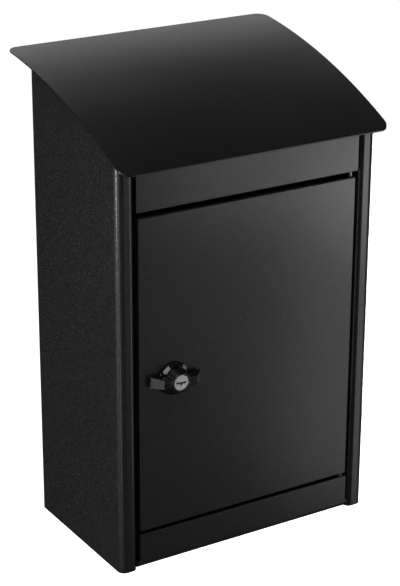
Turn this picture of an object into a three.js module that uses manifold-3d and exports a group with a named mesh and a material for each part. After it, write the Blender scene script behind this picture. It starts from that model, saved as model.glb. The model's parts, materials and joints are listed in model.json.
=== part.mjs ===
// A wall mounted mailbox in folded sheet steel: a curved lid over a rear rod hinge, a front door on
// two pins with a wing-handle cam lock, and a hat-section wall bracket behind the casing.
// Millimetres, +Z up, +X to the right and -Y towards whoever stands in front of the box.
// The casing is drawn with its rear plane at y = 0 and its underside at z = 0. The last lines move
// it so that the origin is the centre of the bracket's wall face.
import * as THREE from 'three';
import { mergeVertices } from 'three/addons/utils/BufferGeometryUtils.js';
import Module from 'manifold-3d';

const wasm = await Module();
wasm.setup();

// ---- driving dimensions -------------------------------------------------------------------------

const BODY_WIDTH = 330;
const BODY_DEPTH = 188.5;
const SHEET = 1.2;
const FIT = 0.3;                 // gap between pieces that touch on the real object

const LID_SHEET = 1.5;
const LID_HALF_WIDTH = 170;
const LID_CORNER = 13;
const LID_REAR = { y: 50, z: 548.5 };
const LID_FRONT = { y: -209, z: 470.5 };
const LID_SAGITTA = 12.9;
const LID_GAP = 1.2;             // lid underside to the side panels' top edge

const CORNER_RADIUS = 8.5;       // vertical front corners
const STILE_WIDTH = 21.4;
const STILE_ROLL = 6.5;          // rounded inner edge of each stile
const RETURN_DEPTH = 18;         // how far the stiles, header and base strip fold back
const LIP = 9.5;
const REAR_FLANGE = 18;

const DOOR_HALF_WIDTH = 139.7;
const DOOR_BOTTOM = 46.5;
const DOOR_TOP = 414.5;
const DOOR_FLANGE = 12;
const EDGE_RADIUS = 1.5;

const STRIP_TOP = 42.9;
const STRIP_HALF_WIDTH = 140.1;
const SLOT_FLOOR = 10.5;         // the slot beside the base strip closes below this height
const DRAIN_HOLE = { x: 60, radius: 3 };
const TRAY_Z = 1.5;
const HEADER_BOTTOM = 420;
const HEADER_HALF_WIDTH = 141.8;
const BUMPER_SPACE = 3.6;

const PIN_INSET = { x: 4.8, y: 4.5 };   // hinge pins, in from the door's right edge and front face
const PIN_RADIUS = 1.8;

const ROD = { y: -8, z: 523 };
const ROD_RADIUS = 2.5;
const ROD_HALF_LENGTH = 112;
const GROOVE_DEPTH = 0.7;        // the grooves that the rod's clips sit in
const CLIP_THICK = 0.9;
const SWING_CLEAR = 13.8;        // what stands behind the rod stays inside this radius
const BRACKET_X = 100;

const LOCK_X = -97;
const LOCK_Z = 224.6;
const LOCK = [LOCK_X, LOCK_Z];
const BARREL_RADIUS = 9.5;
const HANDLE_PROUD = 16;
const CAM_REACH = 50;

const STANDOFF = 60;             // casing's rear plane to the wall
const WALL_PLATE_HALF = 95;
const WALL_LIP_HALF = 125;
const WALL_BOTTOM = 90;
const WALL_TOP = 430;
const WALL_SHEET = 1.5;
const WALL_HOLE = { x: 75, inset: 40, radius: 3.5 };
const MOUNT_BOLT = { x: 110, inset: 35, radius: 3 };

const RIVET_RADIUS = 2;
const RIVET_HEAD = 1.2;          // thickness of a rivet's head and of its formed tail
const BACK_RIVET_X = 155;
const BACK_RIVET_HEIGHTS = [60, 270, 480];
const BASE_RIVET_X = 155;
const BASE_RIVET_DEPTHS = [-140, -45];
const BRACKET_RIVET = { x: BRACKET_X + 14, z: ROD.z - 15 };
const BUSH_RADIUS = 2.9;
const LID_BUMPER_X = 110;

const HALF = BODY_WIDTH / 2;
const FRONT = -BODY_DEPTH;
const STILE_INNER = HALF - STILE_WIDTH;
const RETURN_Y = FRONT + RETURN_DEPTH;
const BACK_OUTER = -SHEET - FIT;             // the back panel's rear face
const BACK_INNER = BACK_OUTER - SHEET;
const MOUNT_Z = (WALL_BOTTOM + WALL_TOP) / 2;
const MOUNT_BOLT_HEIGHTS = [WALL_BOTTOM + MOUNT_BOLT.inset, WALL_TOP - MOUNT_BOLT.inset];
const WALL_HOLE_HEIGHTS = [WALL_BOTTOM + WALL_HOLE.inset, WALL_TOP - WALL_HOLE.inset];
const PIN_X = DOOR_HALF_WIDTH - PIN_INSET.x;
const PIN_Y = FRONT + PIN_INSET.y;

// ---- the lid's arc ------------------------------------------------------------------------------

function circleThrough(a, b, sagitta) {
  const chord = Math.hypot(b.y - a.y, b.z - a.z);
  const radius = (chord * chord / 4 + sagitta * sagitta) / (2 * sagitta);
  const up = { y: (b.z - a.z) / chord, z: (a.y - b.y) / chord };
  const offset = sagitta - radius;
  return {
    radius,
    y: (a.y + b.y) / 2 + up.y * offset,
    z: (a.z + b.z) / 2 + up.z * offset,
  };
}

const LID_ARC = circleThrough(LID_REAR, LID_FRONT, LID_SAGITTA);

// Height of the surface that lies `below` the lid's top face, at depth y.
function underLid(y, below) {
  const radius = LID_ARC.radius - below;
  return LID_ARC.z + Math.sqrt(radius * radius - (y - LID_ARC.y) ** 2);
}

// Points along that surface from y0 to y1.
function lidLine(y0, y1, below, steps) {
  const points = [];
  for (let i = 0; i <= steps; i += 1) {
    const y = y0 + (y1 - y0) * i / steps;
    points.push([y, underLid(y, below)]);
  }
  return points;
}

// ---- geometry helpers ---------------------------------------------------------------------------

// The same surface with shared corners merged, no collapsed triangles and its faces turned outwards.
function welded(geometry) {
  const bare = geometry.index ? geometry.toNonIndexed() : geometry.clone();
  bare.deleteAttribute('normal');
  bare.deleteAttribute('uv');
  const merged = mergeVertices(bare, 1e-4);
  const old = merged.index.array;
  const at = (i) => new THREE.Vector3().fromBufferAttribute(merged.attributes.position, i);
  const faces = [];
  let volume = 0;
  for (let i = 0; i < old.length; i += 3) {
    const [a, b, c] = [old[i], old[i + 1], old[i + 2]];
    if (a !== b && b !== c && c !== a) {
      faces.push([a, b, c]);
      volume += at(a).dot(at(b).cross(at(c)));
    }
  }
  merged.setIndex(faces.flatMap(([a, b, c]) => (volume < 0 ? [a, c, b] : [a, b, c])));
  return merged;
}

function toManifold(geometry) {
  const merged = welded(geometry);
  const mesh = new wasm.Mesh({
    numProp: 3,
    vertProperties: new Float32Array(merged.attributes.position.array),
    triVerts: new Uint32Array(merged.index.array),
  });
  return new wasm.Manifold(mesh);
}

function toGeometry(solid) {
  const mesh = solid.getMesh();
  const geometry = new THREE.BufferGeometry();
  geometry.setAttribute('position', new THREE.BufferAttribute(mesh.vertProperties, 3));
  geometry.setIndex(new THREE.BufferAttribute(mesh.triVerts, 1));
  return geometry;
}

function join(...geometries) {
  return toGeometry(geometries.map(toManifold).reduce((sum, next) => sum.add(next)));
}

function cut(geometry, ...tools) {
  return toGeometry(tools.map(toManifold).reduce((rest, tool) => rest.subtract(tool),
    toManifold(geometry)));
}

function common(a, b) {
  return toGeometry(toManifold(a).intersect(toManifold(b)));
}

// A box from its lowest corner to its highest.
function block(x0, y0, z0, x1, y1, z1) {
  const geometry = new THREE.BoxGeometry(x1 - x0, y1 - y0, z1 - z0);
  return geometry.translate((x0 + x1) / 2, (y0 + y1) / 2, (z0 + z1) / 2);
}

// A disc or rod along X, Y or Z, from one end to the other.
function rod(axis, radius, from, to, centre, sides = 24) {
  const geometry = new THREE.CylinderGeometry(radius, radius, to - from, sides);
  const middle = (from + to) / 2;
  if (axis === 'x') {
    return geometry.rotateZ(Math.PI / 2).translate(middle, centre[0], centre[1]);
  }
  if (axis === 'y') {
    return geometry.translate(centre[0], middle, centre[1]);
  }
  return geometry.rotateX(Math.PI / 2).translate(centre[0], centre[1], middle);
}

// A rod about the pins' axis between two heights, in either order.
function onPinAxis(radius, z0, z1) {
  return rod('z', radius, Math.min(z0, z1), Math.max(z0, z1), [PIN_X, PIN_Y], 20);
}

// A turned piece about an axis along Y: the profile lists [radius, y], open ends on the axis.
function turned(profile, centre, sides = 32) {
  const points = profile.map(([radius, y]) => new THREE.Vector2(radius, y));
  return welded(new THREE.LatheGeometry(points, sides)).translate(centre[0], 0, centre[1]);
}

function shapeOf(points) {
  return new THREE.Shape(points.map(([u, v]) => new THREE.Vector2(u, v)));
}

// An outline in the XY plane, extruded upwards.
function extrudeZ(points, z0, z1) {
  const geometry = new THREE.ExtrudeGeometry(shapeOf(points), { depth: z1 - z0, bevelEnabled: false });
  return geometry.translate(0, 0, z0);
}

// An outline in the YZ plane, extruded along X.
function extrudeX(points, x0, x1) {
  const geometry = new THREE.ExtrudeGeometry(shapeOf(points), { depth: x1 - x0, bevelEnabled: false });
  const turn = new THREE.Matrix4().makeBasis(
    new THREE.Vector3(0, 1, 0), new THREE.Vector3(0, 0, 1), new THREE.Vector3(1, 0, 0));
  return geometry.applyMatrix4(turn).translate(x0, 0, 0);
}

// An outline in the XZ plane, extruded along Y.
function extrudeY(points, y0, y1) {
  const geometry = new THREE.ExtrudeGeometry(shapeOf(points), { depth: y1 - y0, bevelEnabled: false });
  return geometry.rotateX(Math.PI / 2).translate(0, y1, 0);
}

// A polyline whose corners [u, v, radius] are rounded with short arcs.
function bend(corners, stepsPerBend = 4) {
  const line = [];
  corners.forEach(([u, v, radius = 0], i) => {
    if (radius === 0 || i === 0 || i === corners.length - 1) {
      line.push([u, v]);
      return;
    }
    const here = new THREE.Vector2(u, v);
    const before = new THREE.Vector2(...corners[i - 1].slice(0, 2)).sub(here).normalize();
    const after = new THREE.Vector2(...corners[i + 1].slice(0, 2)).sub(here).normalize();
    const halfAngle = Math.acos(before.dot(after)) / 2;
    const reach = radius / Math.tan(halfAngle);
    const centre = before.clone().add(after).normalize().multiplyScalar(radius / Math.sin(halfAngle));
    const start = before.clone().multiplyScalar(reach).sub(centre);
    const end = after.clone().multiplyScalar(reach).sub(centre);
    const from = Math.atan2(start.y, start.x);
    let sweep = Math.atan2(end.y, end.x) - from;
    sweep -= 2 * Math.PI * Math.round(sweep / (2 * Math.PI));
    for (let k = 0; k <= stepsPerBend; k += 1) {
      const angle = from + sweep * k / stepsPerBend;
      line.push([u + centre.x + radius * Math.cos(angle), v + centre.y + radius * Math.sin(angle)]);
    }
  });
  return line;
}

// The closed outline of a folded sheet: the line, and the same line moved `thickness` to its right.
function sheetOutline(line, thickness) {
  const points = line.map(([u, v]) => new THREE.Vector2(u, v));
  const inner = points.map((point, i) => {
    const previous = points[Math.max(i - 1, 0)];
    const next = points[Math.min(i + 1, points.length - 1)];
    const a = (i === 0 ? next.clone().sub(point) : point.clone().sub(previous)).normalize();
    const b = (i === points.length - 1 ? a : next.clone().sub(point)).clone().normalize();
    const middle = a.clone().add(b).normalize();
    const scale = thickness / middle.dot(a);
    return [point.x + middle.y * scale, point.y - middle.x * scale];
  });
  return [...line, ...inner.reverse()];
}

// ---- materials ----------------------------------------------------------------------------------

function finish(color, roughness, metalness) {
  return () => new THREE.MeshStandardMaterial({ color, roughness, metalness });
}

const texturedBlack = finish(0x1d1d1e, 0.55, 0.0);
const satinBlack = finish(0x161617, 0.38, 0.0);
const lockBlack = finish(0x101011, 0.35, 0.0);
const brushedSteel = finish(0xb9bbbd, 0.3, 1.0);
const zinc = finish(0x9a9ea1, 0.42, 1.0);
const rubber = finish(0x151515, 0.85, 0.0);
const nylon = finish(0xd8d6cf, 0.5, 0.0);
const paleMark = finish(0xb4b6b8, 0.5, 0.0);

const mailbox = new THREE.Group();
const drawing = new THREE.Group();
mailbox.add(drawing);

function piece(name, geometry, material, parent = drawing) {
  const mesh = new THREE.Mesh(geometry, material());
  mesh.name = name;
  parent.add(mesh);
  return mesh;
}

function mirrored(geometry) {
  return welded(geometry.clone().applyMatrix4(new THREE.Matrix4().makeScale(-1, 1, 1)));
}

// ---- casing -------------------------------------------------------------------------------------

// What remains above this tool's lower face is trimmed: the lid's underside and the rod's clearance.
function topTrim(x0, x1) {
  const below = LID_SHEET + LID_GAP;
  const steps = 10;
  const arcSteps = 6;
  const rearReach = Math.acos(-ROD.y / SWING_CLEAR);
  const outline = lidLine(FRONT - 10, ROD.y, below, steps);
  for (let i = 0; i <= arcSteps; i += 1) {
    const angle = Math.PI / 2 + (rearReach - Math.PI / 2) * i / arcSteps;
    outline.push([ROD.y + SWING_CLEAR * Math.cos(angle), ROD.z + SWING_CLEAR * Math.sin(angle)]);
  }
  outline.push([10, outline[outline.length - 1][1]]);
  outline.push([10, 600]);
  outline.push([FRONT - 10, 600]);
  return extrudeX(outline, x0, x1);
}

function sidePanel() {
  const line = bend([
    [HALF - REAR_FLANGE, 0],
    [HALF, 0, 2.5],
    [HALF, FRONT, CORNER_RADIUS],
    [STILE_INNER, FRONT, STILE_ROLL],
    [STILE_INNER, RETURN_Y, 1.6],
    [STILE_INNER + LIP, RETURN_Y],
  ], 5);
  const wall = extrudeZ(sheetOutline(line, SHEET), 0, 560);
  const bottomFlange = block(HALF - REAR_FLANGE, RETURN_Y + 6, 0, HALF - SHEET / 2, -6, SHEET);
  const rivetHoles = [
    ...BACK_RIVET_HEIGHTS.map((z) => rod('y', RIVET_RADIUS + FIT, -4, 2, [BACK_RIVET_X, z], 16)),
    ...BASE_RIVET_DEPTHS.map((y) => rod('z', RIVET_RADIUS + FIT, -1, 2, [BASE_RIVET_X, y], 16)),
  ];
  return cut(join(wall, bottomFlange), topTrim(HALF - 40, HALF + 10), ...rivetHoles);
}

function backPanel() {
  const half = HALF - SHEET - 1;
  const earNotch = { from: BRACKET_X - 26, to: BRACKET_X - 1, z: ROD.z - 13 };
  const sheet = block(-half, BACK_INNER, TRAY_Z + SHEET + FIT, half, BACK_OUTER, ROD.z + 4);
  const holes = [];
  for (const side of [-1, 1]) {
    for (const z of BACK_RIVET_HEIGHTS) {
      holes.push(rod('y', RIVET_RADIUS + FIT, -4, 0, [side * BACK_RIVET_X, z], 16));
    }
    for (const z of MOUNT_BOLT_HEIGHTS) {
      holes.push(rod('y', MOUNT_BOLT.radius + FIT, -4, 0, [side * MOUNT_BOLT.x, z], 16));
    }
    holes.push(rod('y', RIVET_RADIUS + FIT, -4, 0, [side * BRACKET_RIVET.x, BRACKET_RIVET.z], 16));
    const near = Math.min(side * earNotch.from, side * earNotch.to);
    const far = Math.max(side * earNotch.from, side * earNotch.to);
    holes.push(block(near, -10, earNotch.z, far, 5, 600));
  }
  return cut(sheet, ...holes);
}

// The end flange and lapping tab that tie the header and the base strip behind a stile's lip.
function stileTab(halfWidth, z0, z1) {
  const flange = block(halfWidth - SHEET, FRONT + SHEET / 2, z0, halfWidth, RETURN_Y + FIT + SHEET, z1);
  const tab = block(halfWidth - SHEET / 2, RETURN_Y + FIT, z0, STILE_INNER + LIP - 1,
    RETURN_Y + FIT + SHEET, z1);
  return join(flange, tab);
}

function baseTray() {
  const rear = BACK_INNER - FIT;
  const line = bend([
    [RETURN_Y, STRIP_TOP],
    [FRONT, STRIP_TOP, EDGE_RADIUS],
    [FRONT, TRAY_Z, 6],
    [rear, TRAY_Z, 2.2],
    [rear, 24],
  ]);
  const half = HALF - SHEET - 0.5;
  const tray = extrudeX(sheetOutline(line, -SHEET), -half, half);
  const tools = [];
  for (const side of [-1, 1]) {
    const past = side * (HALF + 10);
    const slot = side * STRIP_HALF_WIDTH;
    const corner = side * (STILE_INNER - 0.4);
    const stileBack = RETURN_Y + 2 * FIT;
    for (const [edge, floor] of [[slot, SLOT_FLOOR], [corner, -5]]) {
      tools.push(block(Math.min(edge, past), FRONT - 10, floor, Math.max(edge, past), stileBack, 60));
    }
    for (const y of BASE_RIVET_DEPTHS) {
      tools.push(rod('z', RIVET_RADIUS + FIT, 0, 5, [side * BASE_RIVET_X, y], 16));
      tools.push(rod('z', DRAIN_HOLE.radius, 0, 5, [side * DRAIN_HOLE.x, y], 16));
    }
  }
  tools.push(onPinAxis(BUSH_RADIUS + FIT, STRIP_TOP - 4, STRIP_TOP + 4));
  const body = cut(tray, ...tools);
  const tab = stileTab(STRIP_HALF_WIDTH, SLOT_FLOOR + 2, STRIP_TOP - 3);
  return join(body, tab, mirrored(tab));
}

function headerPanel() {
  const slopeDepth = 15;
  const bumperFace = LID_SHEET + BUMPER_SPACE;
  const line = bend([
    [RETURN_Y, HEADER_BOTTOM],
    [FRONT, HEADER_BOTTOM, EDGE_RADIUS],
    [FRONT, underLid(FRONT, bumperFace), EDGE_RADIUS],
    [FRONT + slopeDepth, underLid(FRONT + slopeDepth, bumperFace)],
  ]);
  const face = extrudeX(sheetOutline(line, SHEET), -HEADER_HALF_WIDTH, HEADER_HALF_WIDTH);
  const pinHole = onPinAxis(BUSH_RADIUS + FIT, HEADER_BOTTOM - 4, HEADER_BOTTOM + 4);
  const tab = stileTab(HEADER_HALF_WIDTH, HEADER_BOTTOM + 3, underLid(FRONT, bumperFace) - 4);
  return join(cut(face, pinHole), tab, mirrored(tab));
}

// The sloping plate under the lid that lets post slide in and keeps hands out.
function letterGuard() {
  const half = HALF - SHEET - 0.5;
  const top = { y: -167, z: 469 };
  const low = { y: -74, z: 400 };
  const line = bend([[top.y, top.z], [low.y, low.z, 3], [low.y + 2, low.z - 10]]);
  const plate = extrudeX(sheetOutline(line, SHEET), -half, half);
  const flangeDrop = 12;
  const flange = extrudeX([
    [top.y + 8, top.z - 6.5],
    [top.y + 8, top.z - 6.5 - flangeDrop],
    [low.y - 8, low.z + 5 - flangeDrop],
    [low.y - 8, low.z + 5],
  ], half - SHEET, half);
  return join(plate, flange, mirrored(flange));
}

function wallBracket() {
  const lipFace = BACK_OUTER + FIT;
  const line = bend([
    [WALL_LIP_HALF, lipFace + WALL_SHEET],
    [WALL_PLATE_HALF, lipFace + WALL_SHEET, 1],
    [WALL_PLATE_HALF, STANDOFF, 3],
    [-WALL_PLATE_HALF, STANDOFF, 3],
    [-WALL_PLATE_HALF, lipFace + WALL_SHEET, 1],
    [-WALL_LIP_HALF, lipFace + WALL_SHEET],
  ]);
  const channel = extrudeZ(sheetOutline(line, -WALL_SHEET), WALL_BOTTOM, WALL_TOP);
  const holes = [];
  for (const side of [-1, 1]) {
    for (const z of WALL_HOLE_HEIGHTS) {
      holes.push(rod('y', WALL_HOLE.radius, STANDOFF - 5, STANDOFF + 5, [side * WALL_HOLE.x, z], 20));
    }
    for (const z of MOUNT_BOLT_HEIGHTS) {
      holes.push(rod('y', MOUNT_BOLT.radius + FIT, -4, 4, [side * MOUNT_BOLT.x, z], 16));
    }
  }
  return cut(channel, ...holes);
}

// A blind rivet along Y or Z: a domed head at `from` and a formed tail at `to`.
function rivet(axis, from, to, centre, headSide) {
  const headEnd = from + headSide * RIVET_HEAD;
  const tailEnd = to - headSide * RIVET_HEAD;
  const between = (radius, a, b) => rod(axis, radius, Math.min(a, b), Math.max(a, b), centre, 16);
  return join(
    between(RIVET_RADIUS * 1.9, from, headEnd),
    between(RIVET_RADIUS * 1.5, to, tailEnd),
    between(RIVET_RADIUS, from + headSide * RIVET_HEAD / 2, to - headSide * RIVET_HEAD / 2),
  );
}

function mountBolt(x, z) {
  const head = BACK_INNER - FIT;
  const tip = BACK_OUTER + FIT + WALL_SHEET + 6.5;
  return join(
    rod('y', 5, head - 3.5, head, [x, z], 6),
    rod('y', MOUNT_BOLT.radius, head - 1, tip, [x, z], 20),
  );
}

function mountNut(x, z) {
  const seat = BACK_OUTER + FIT + WALL_SHEET + FIT;
  return cut(
    rod('y', 5.6, seat, seat + 4.4, [x, z], 6),
    rod('y', MOUNT_BOLT.radius + FIT, seat - 1, seat + 6, [x, z], 20),
  );
}

// ---- lid hinge ----------------------------------------------------------------------------------

function rodBracket() {
  const wallFace = BACK_INNER - FIT;
  const top = ROD.z + 5;
  const bottom = ROD.z - 26;
  const nose = ROD.y - 6;
  const footWidth = 24;
  const ear = extrudeX(bend([
    [wallFace, bottom],
    [wallFace, top],
    [nose, top, 4],
    [nose, ROD.z - 10, 4],
    [wallFace - 4, bottom],
  ], 3), BRACKET_X, BRACKET_X + SHEET);
  const foot = block(BRACKET_X, wallFace - SHEET, bottom, BRACKET_X + footWidth, wallFace, ROD.z - 6);
  return cut(
    join(ear, foot),
    rod('x', ROD_RADIUS + FIT, BRACKET_X - 5, BRACKET_X + 5, [ROD.y, ROD.z], 24),
    rod('y', RIVET_RADIUS + FIT, -10, 0, [BRACKET_RIVET.x, BRACKET_RIVET.z], 16),
  );
}

// The tab under the lid that turns on the rod: a plate round the rod, folded along the lid.
function lidEar() {
  const outer = BRACKET_X - 2;
  const width = 20;
  const front = -34;
  const rear = 12;
  const eye = 4.6;               // radius of the ear round the rod
  const below = LID_SHEET + FIT;
  const middle = below + LID_SHEET / 2;
  const top = lidLine(front, rear, below, 6);
  const under = lidLine(front, rear, below + LID_SHEET, 6).reverse();
  const flange = extrudeX([...top, ...under].reverse(), outer - width, outer);
  const neck = [[ROD.y + eye, underLid(ROD.y + eye, middle)]];
  const steps = 8;
  for (let i = 0; i <= steps; i += 1) {
    const angle = -Math.PI * i / steps;
    neck.push([ROD.y + eye * Math.cos(angle), ROD.z + eye * Math.sin(angle)]);
  }
  neck.push([ROD.y - eye, ROD.z + 6]);
  neck.push([front + 6, underLid(front + 6, middle)]);
  const plate = extrudeX(neck.reverse(), outer - LID_SHEET, outer);
  return cut(join(flange, plate),
    rod('x', ROD_RADIUS + FIT, outer - 5, outer + 5, [ROD.y, ROD.z], 24));
}

function rodClip() {
  const x0 = BRACKET_X + SHEET + FIT;
  const outer = 4.6;
  const bore = ROD_RADIUS - GROOVE_DEPTH + FIT;
  const mouth = bore * 0.7;
  return cut(
    rod('x', outer, x0, x0 + CLIP_THICK, [ROD.y, ROD.z], 24),
    rod('x', bore, x0 - 1, x0 + 2, [ROD.y, ROD.z], 24),
    block(x0 - 1, ROD.y - mouth, ROD.z - 8, x0 + 2, ROD.y + mouth, ROD.z),
  );
}

function hingeRod() {
  const x0 = BRACKET_X + SHEET;
  const grooves = [];
  for (const side of [-1, 1]) {
    const near = side * x0;
    const far = side * (x0 + CLIP_THICK + 2 * FIT);
    const from = Math.min(near, far);
    const to = Math.max(near, far);
    grooves.push(cut(
      rod('x', ROD_RADIUS + 1, from, to, [ROD.y, ROD.z], 24),
      rod('x', ROD_RADIUS - GROOVE_DEPTH, from - 1, to + 1, [ROD.y, ROD.z], 24),
    ));
  }
  return cut(rod('x', ROD_RADIUS, -ROD_HALF_LENGTH, ROD_HALF_LENGTH, [ROD.y, ROD.z], 24), ...grooves);
}

// A lid sheet that follows the arc, with rounded corners.
function lidPanel() {
  const steps = 24;
  const outer = lidLine(LID_FRONT.y, LID_REAR.y, 0, steps);
  const inner = lidLine(LID_FRONT.y, LID_REAR.y, LID_SHEET, steps);
  const sheet = extrudeX([...inner, ...outer.reverse()], -LID_HALF_WIDTH, LID_HALF_WIDTH);
  const plan = bend([
    [0, LID_FRONT.y],
    [LID_HALF_WIDTH, LID_FRONT.y, LID_CORNER],
    [LID_HALF_WIDTH, LID_REAR.y, LID_CORNER],
    [-LID_HALF_WIDTH, LID_REAR.y, LID_CORNER],
    [-LID_HALF_WIDTH, LID_FRONT.y, LID_CORNER],
    [0, LID_FRONT.y],
  ], 6).slice(0, -1);
  return common(sheet, extrudeZ(plan, 440, 580));
}

// ---- door ---------------------------------------------------------------------------------------

function doorPanel() {
  const inset = EDGE_RADIUS;
  const outline = [
    [-DOOR_HALF_WIDTH + inset, DOOR_BOTTOM + inset],
    [DOOR_HALF_WIDTH - inset, DOOR_BOTTOM + inset],
    [DOOR_HALF_WIDTH - inset, DOOR_TOP - inset],
    [-DOOR_HALF_WIDTH + inset, DOOR_TOP - inset],
  ];
  const pan = new THREE.ExtrudeGeometry(shapeOf(outline), {
    depth: DOOR_FLANGE + 4,
    bevelThickness: EDGE_RADIUS,
    bevelSize: EDGE_RADIUS,
    bevelSegments: 3,
  });
  pan.rotateX(Math.PI / 2).translate(0, FRONT + EDGE_RADIUS + DOOR_FLANGE + 4, 0);
  const wide = DOOR_HALF_WIDTH + 10;
  const behind = block(-wide, FRONT + DOOR_FLANGE, 0, wide, FRONT + 40, 500);
  const hollow = block(-DOOR_HALF_WIDTH + SHEET, FRONT + SHEET, DOOR_BOTTOM + SHEET,
    DOOR_HALF_WIDTH - SHEET, FRONT + 40, DOOR_TOP - SHEET);
  return cut(
    pan,
    behind,
    hollow,
    rod('y', BARREL_RADIUS + FIT, FRONT - 5, FRONT + 5, [LOCK_X, LOCK_Z], 32),
    onPinAxis(PIN_RADIUS + FIT, DOOR_BOTTOM - 5, DOOR_BOTTOM + 5),
    onPinAxis(PIN_RADIUS + FIT, DOOR_TOP - 5, DOOR_TOP + 5),
  );
}

// A headed pin through the door's flange into the bush beyond it: `out` is 1 upwards, -1 downwards.
function hingePin(flangeFace, bushFace, out) {
  const seat = flangeFace - out * (SHEET + FIT);
  const tip = bushFace + out * 3.5;
  return join(
    onPinAxis(3, seat, seat - out * 2.2),
    onPinAxis(PIN_RADIUS, seat - out, tip),
  );
}

// A nylon bush in a return flange, with a collar on the hidden side that is flat towards the front.
function hingeBush(flangeFace, out) {
  const collarSeat = flangeFace + out * (SHEET + FIT);
  const collarEnd = collarSeat + out * 1.3;
  const sleeve = onPinAxis(BUSH_RADIUS, flangeFace, collarEnd);
  const collar = cut(
    onPinAxis(BUSH_RADIUS + 1.5, collarSeat, collarEnd),
    block(PIN_X - 10, FRONT - 10, 0, PIN_X + 10, FRONT + SHEET + FIT, 500),
  );
  return cut(join(sleeve, collar), onPinAxis(PIN_RADIUS + FIT, flangeFace - 10, flangeFace + 10));
}

// ---- lock ---------------------------------------------------------------------------------------

const BARREL_BORE = 6.3;
const SPINDLE_RADIUS = 6;
const SQUARE = 4;                              // half the side of the spindle's square end
const ROSETTE_RADIUS = 19.3;
const HUB = { back: 14.8, front: 11.4 };       // radii of the handle's conical hub
const PLUG_FACE = 9.1;
const PLUG_CORE = 4.5;
const GASKET = 0.8;
const HANDLE_FACE = FRONT - HANDLE_PROUD;
const HANDLE_BACK = FRONT - 7.4;
const FLANGE_FRONT = HANDLE_BACK + FIT;
const FLANGE_BACK = FLANGE_FRONT + 1.8;
const ROSETTE_FRONT = FLANGE_BACK + FIT;
const ROSETTE_BACK = FRONT - GASKET - 2 * FIT;
const CAM_FRONT = RETURN_Y + 2;
const CAM_THICK = 2.2;
const CAM_BACK = CAM_FRONT + CAM_THICK;
const BARREL_END = CAM_FRONT - 2.6;
const PLUG_FRONT = HANDLE_FACE;
const PLUG_SEAT = HANDLE_FACE + 3.6;
const PLUG_END = FRONT + 7;
const KEYWAY = { faceHalf: 6, coreHalf: 3.4, halfHeight: 1.05, depth: 9 };
const HANDLE_TILT = THREE.MathUtils.degToRad(4);   // left wing up at rest
const MARKS = { right: { angle: 43, half: 11 }, left: { angle: 131, half: 15 } };   // degrees
const MARK_DEPTH = 2.7;
const MARK_INNER = 14.5;
const MARK_OUTER = 18.3;

function ringSector(r0, r1, from, to, steps) {
  const outline = [];
  for (let i = 0; i <= steps; i += 1) {
    const angle = from + (to - from) * i / steps;
    outline.push([LOCK_X + r1 * Math.cos(angle), LOCK_Z + r1 * Math.sin(angle)]);
  }
  for (let i = steps; i >= 0; i -= 1) {
    const angle = from + (to - from) * i / steps;
    outline.push([LOCK_X + r0 * Math.cos(angle), LOCK_Z + r0 * Math.sin(angle)]);
  }
  return outline;
}

// The ring under the handle: a flat, a cone and a low rim, outlined from the front to the back.
const ROSETTE_CONE = [
  [14.2, ROSETTE_FRONT],
  [ROSETTE_RADIUS - 0.6, ROSETTE_BACK - 1.4],
  [ROSETTE_RADIUS, ROSETTE_BACK - 0.8],
  [ROSETTE_RADIUS, ROSETTE_BACK],
];

function lockRosette() {
  const bore = BARREL_RADIUS + FIT;
  const ring = turned([[bore, ROSETTE_BACK], [bore, ROSETTE_FRONT], ...ROSETTE_CONE,
    [bore, ROSETTE_BACK]].reverse(), LOCK, 40);
  return cut(ring, ...Object.values(MARKS).map((mark) => extrudeY(
    markOutline(mark, FIT), ROSETTE_FRONT - 1, ROSETTE_FRONT + MARK_DEPTH + FIT)));
}

function markOutline(mark, grow) {
  const angle = THREE.MathUtils.degToRad(mark.angle);
  const half = THREE.MathUtils.degToRad(mark.half) + grow / MARK_INNER;
  return ringSector(MARK_INNER - grow, MARK_OUTER + grow, angle - half, angle + half, 6);
}

function lockMark(mark) {
  const band = extrudeY(markOutline(mark, 0), ROSETTE_FRONT - 1, ROSETTE_FRONT + MARK_DEPTH);
  const cone = turned([[0, ROSETTE_FRONT], ...ROSETTE_CONE, [0, ROSETTE_BACK]], LOCK, 40);
  return common(band, cone);
}

function lockBody() {
  return turned([
    [BARREL_BORE, BARREL_END],
    [BARREL_RADIUS, BARREL_END],
    [BARREL_RADIUS, FLANGE_BACK],
    [12.2, FLANGE_BACK],
    [12.2, FLANGE_FRONT],
    [BARREL_BORE, FLANGE_FRONT],
    [BARREL_BORE, BARREL_END],
  ], LOCK);
}

function lockNut() {
  const seat = FRONT + SHEET + FIT;
  return cut(
    rod('y', 14.5, seat, seat + 4.5, LOCK, 6),
    rod('y', BARREL_RADIUS + FIT, seat - 1, seat + 6, LOCK, 32),
  );
}

function lockGasket() {
  return cut(
    rod('y', 18, FRONT - FIT - GASKET, FRONT - FIT, LOCK, 40),
    rod('y', BARREL_RADIUS + FIT, FRONT - 3, FRONT + 1, LOCK, 32),
  );
}

// Turns a drawn shape about the lock's axis to the handle's resting angle.
function tilted(geometry) {
  return geometry.translate(-LOCK_X, 0, -LOCK_Z).rotateY(HANDLE_TILT).translate(LOCK_X, 0, LOCK_Z);
}

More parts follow.
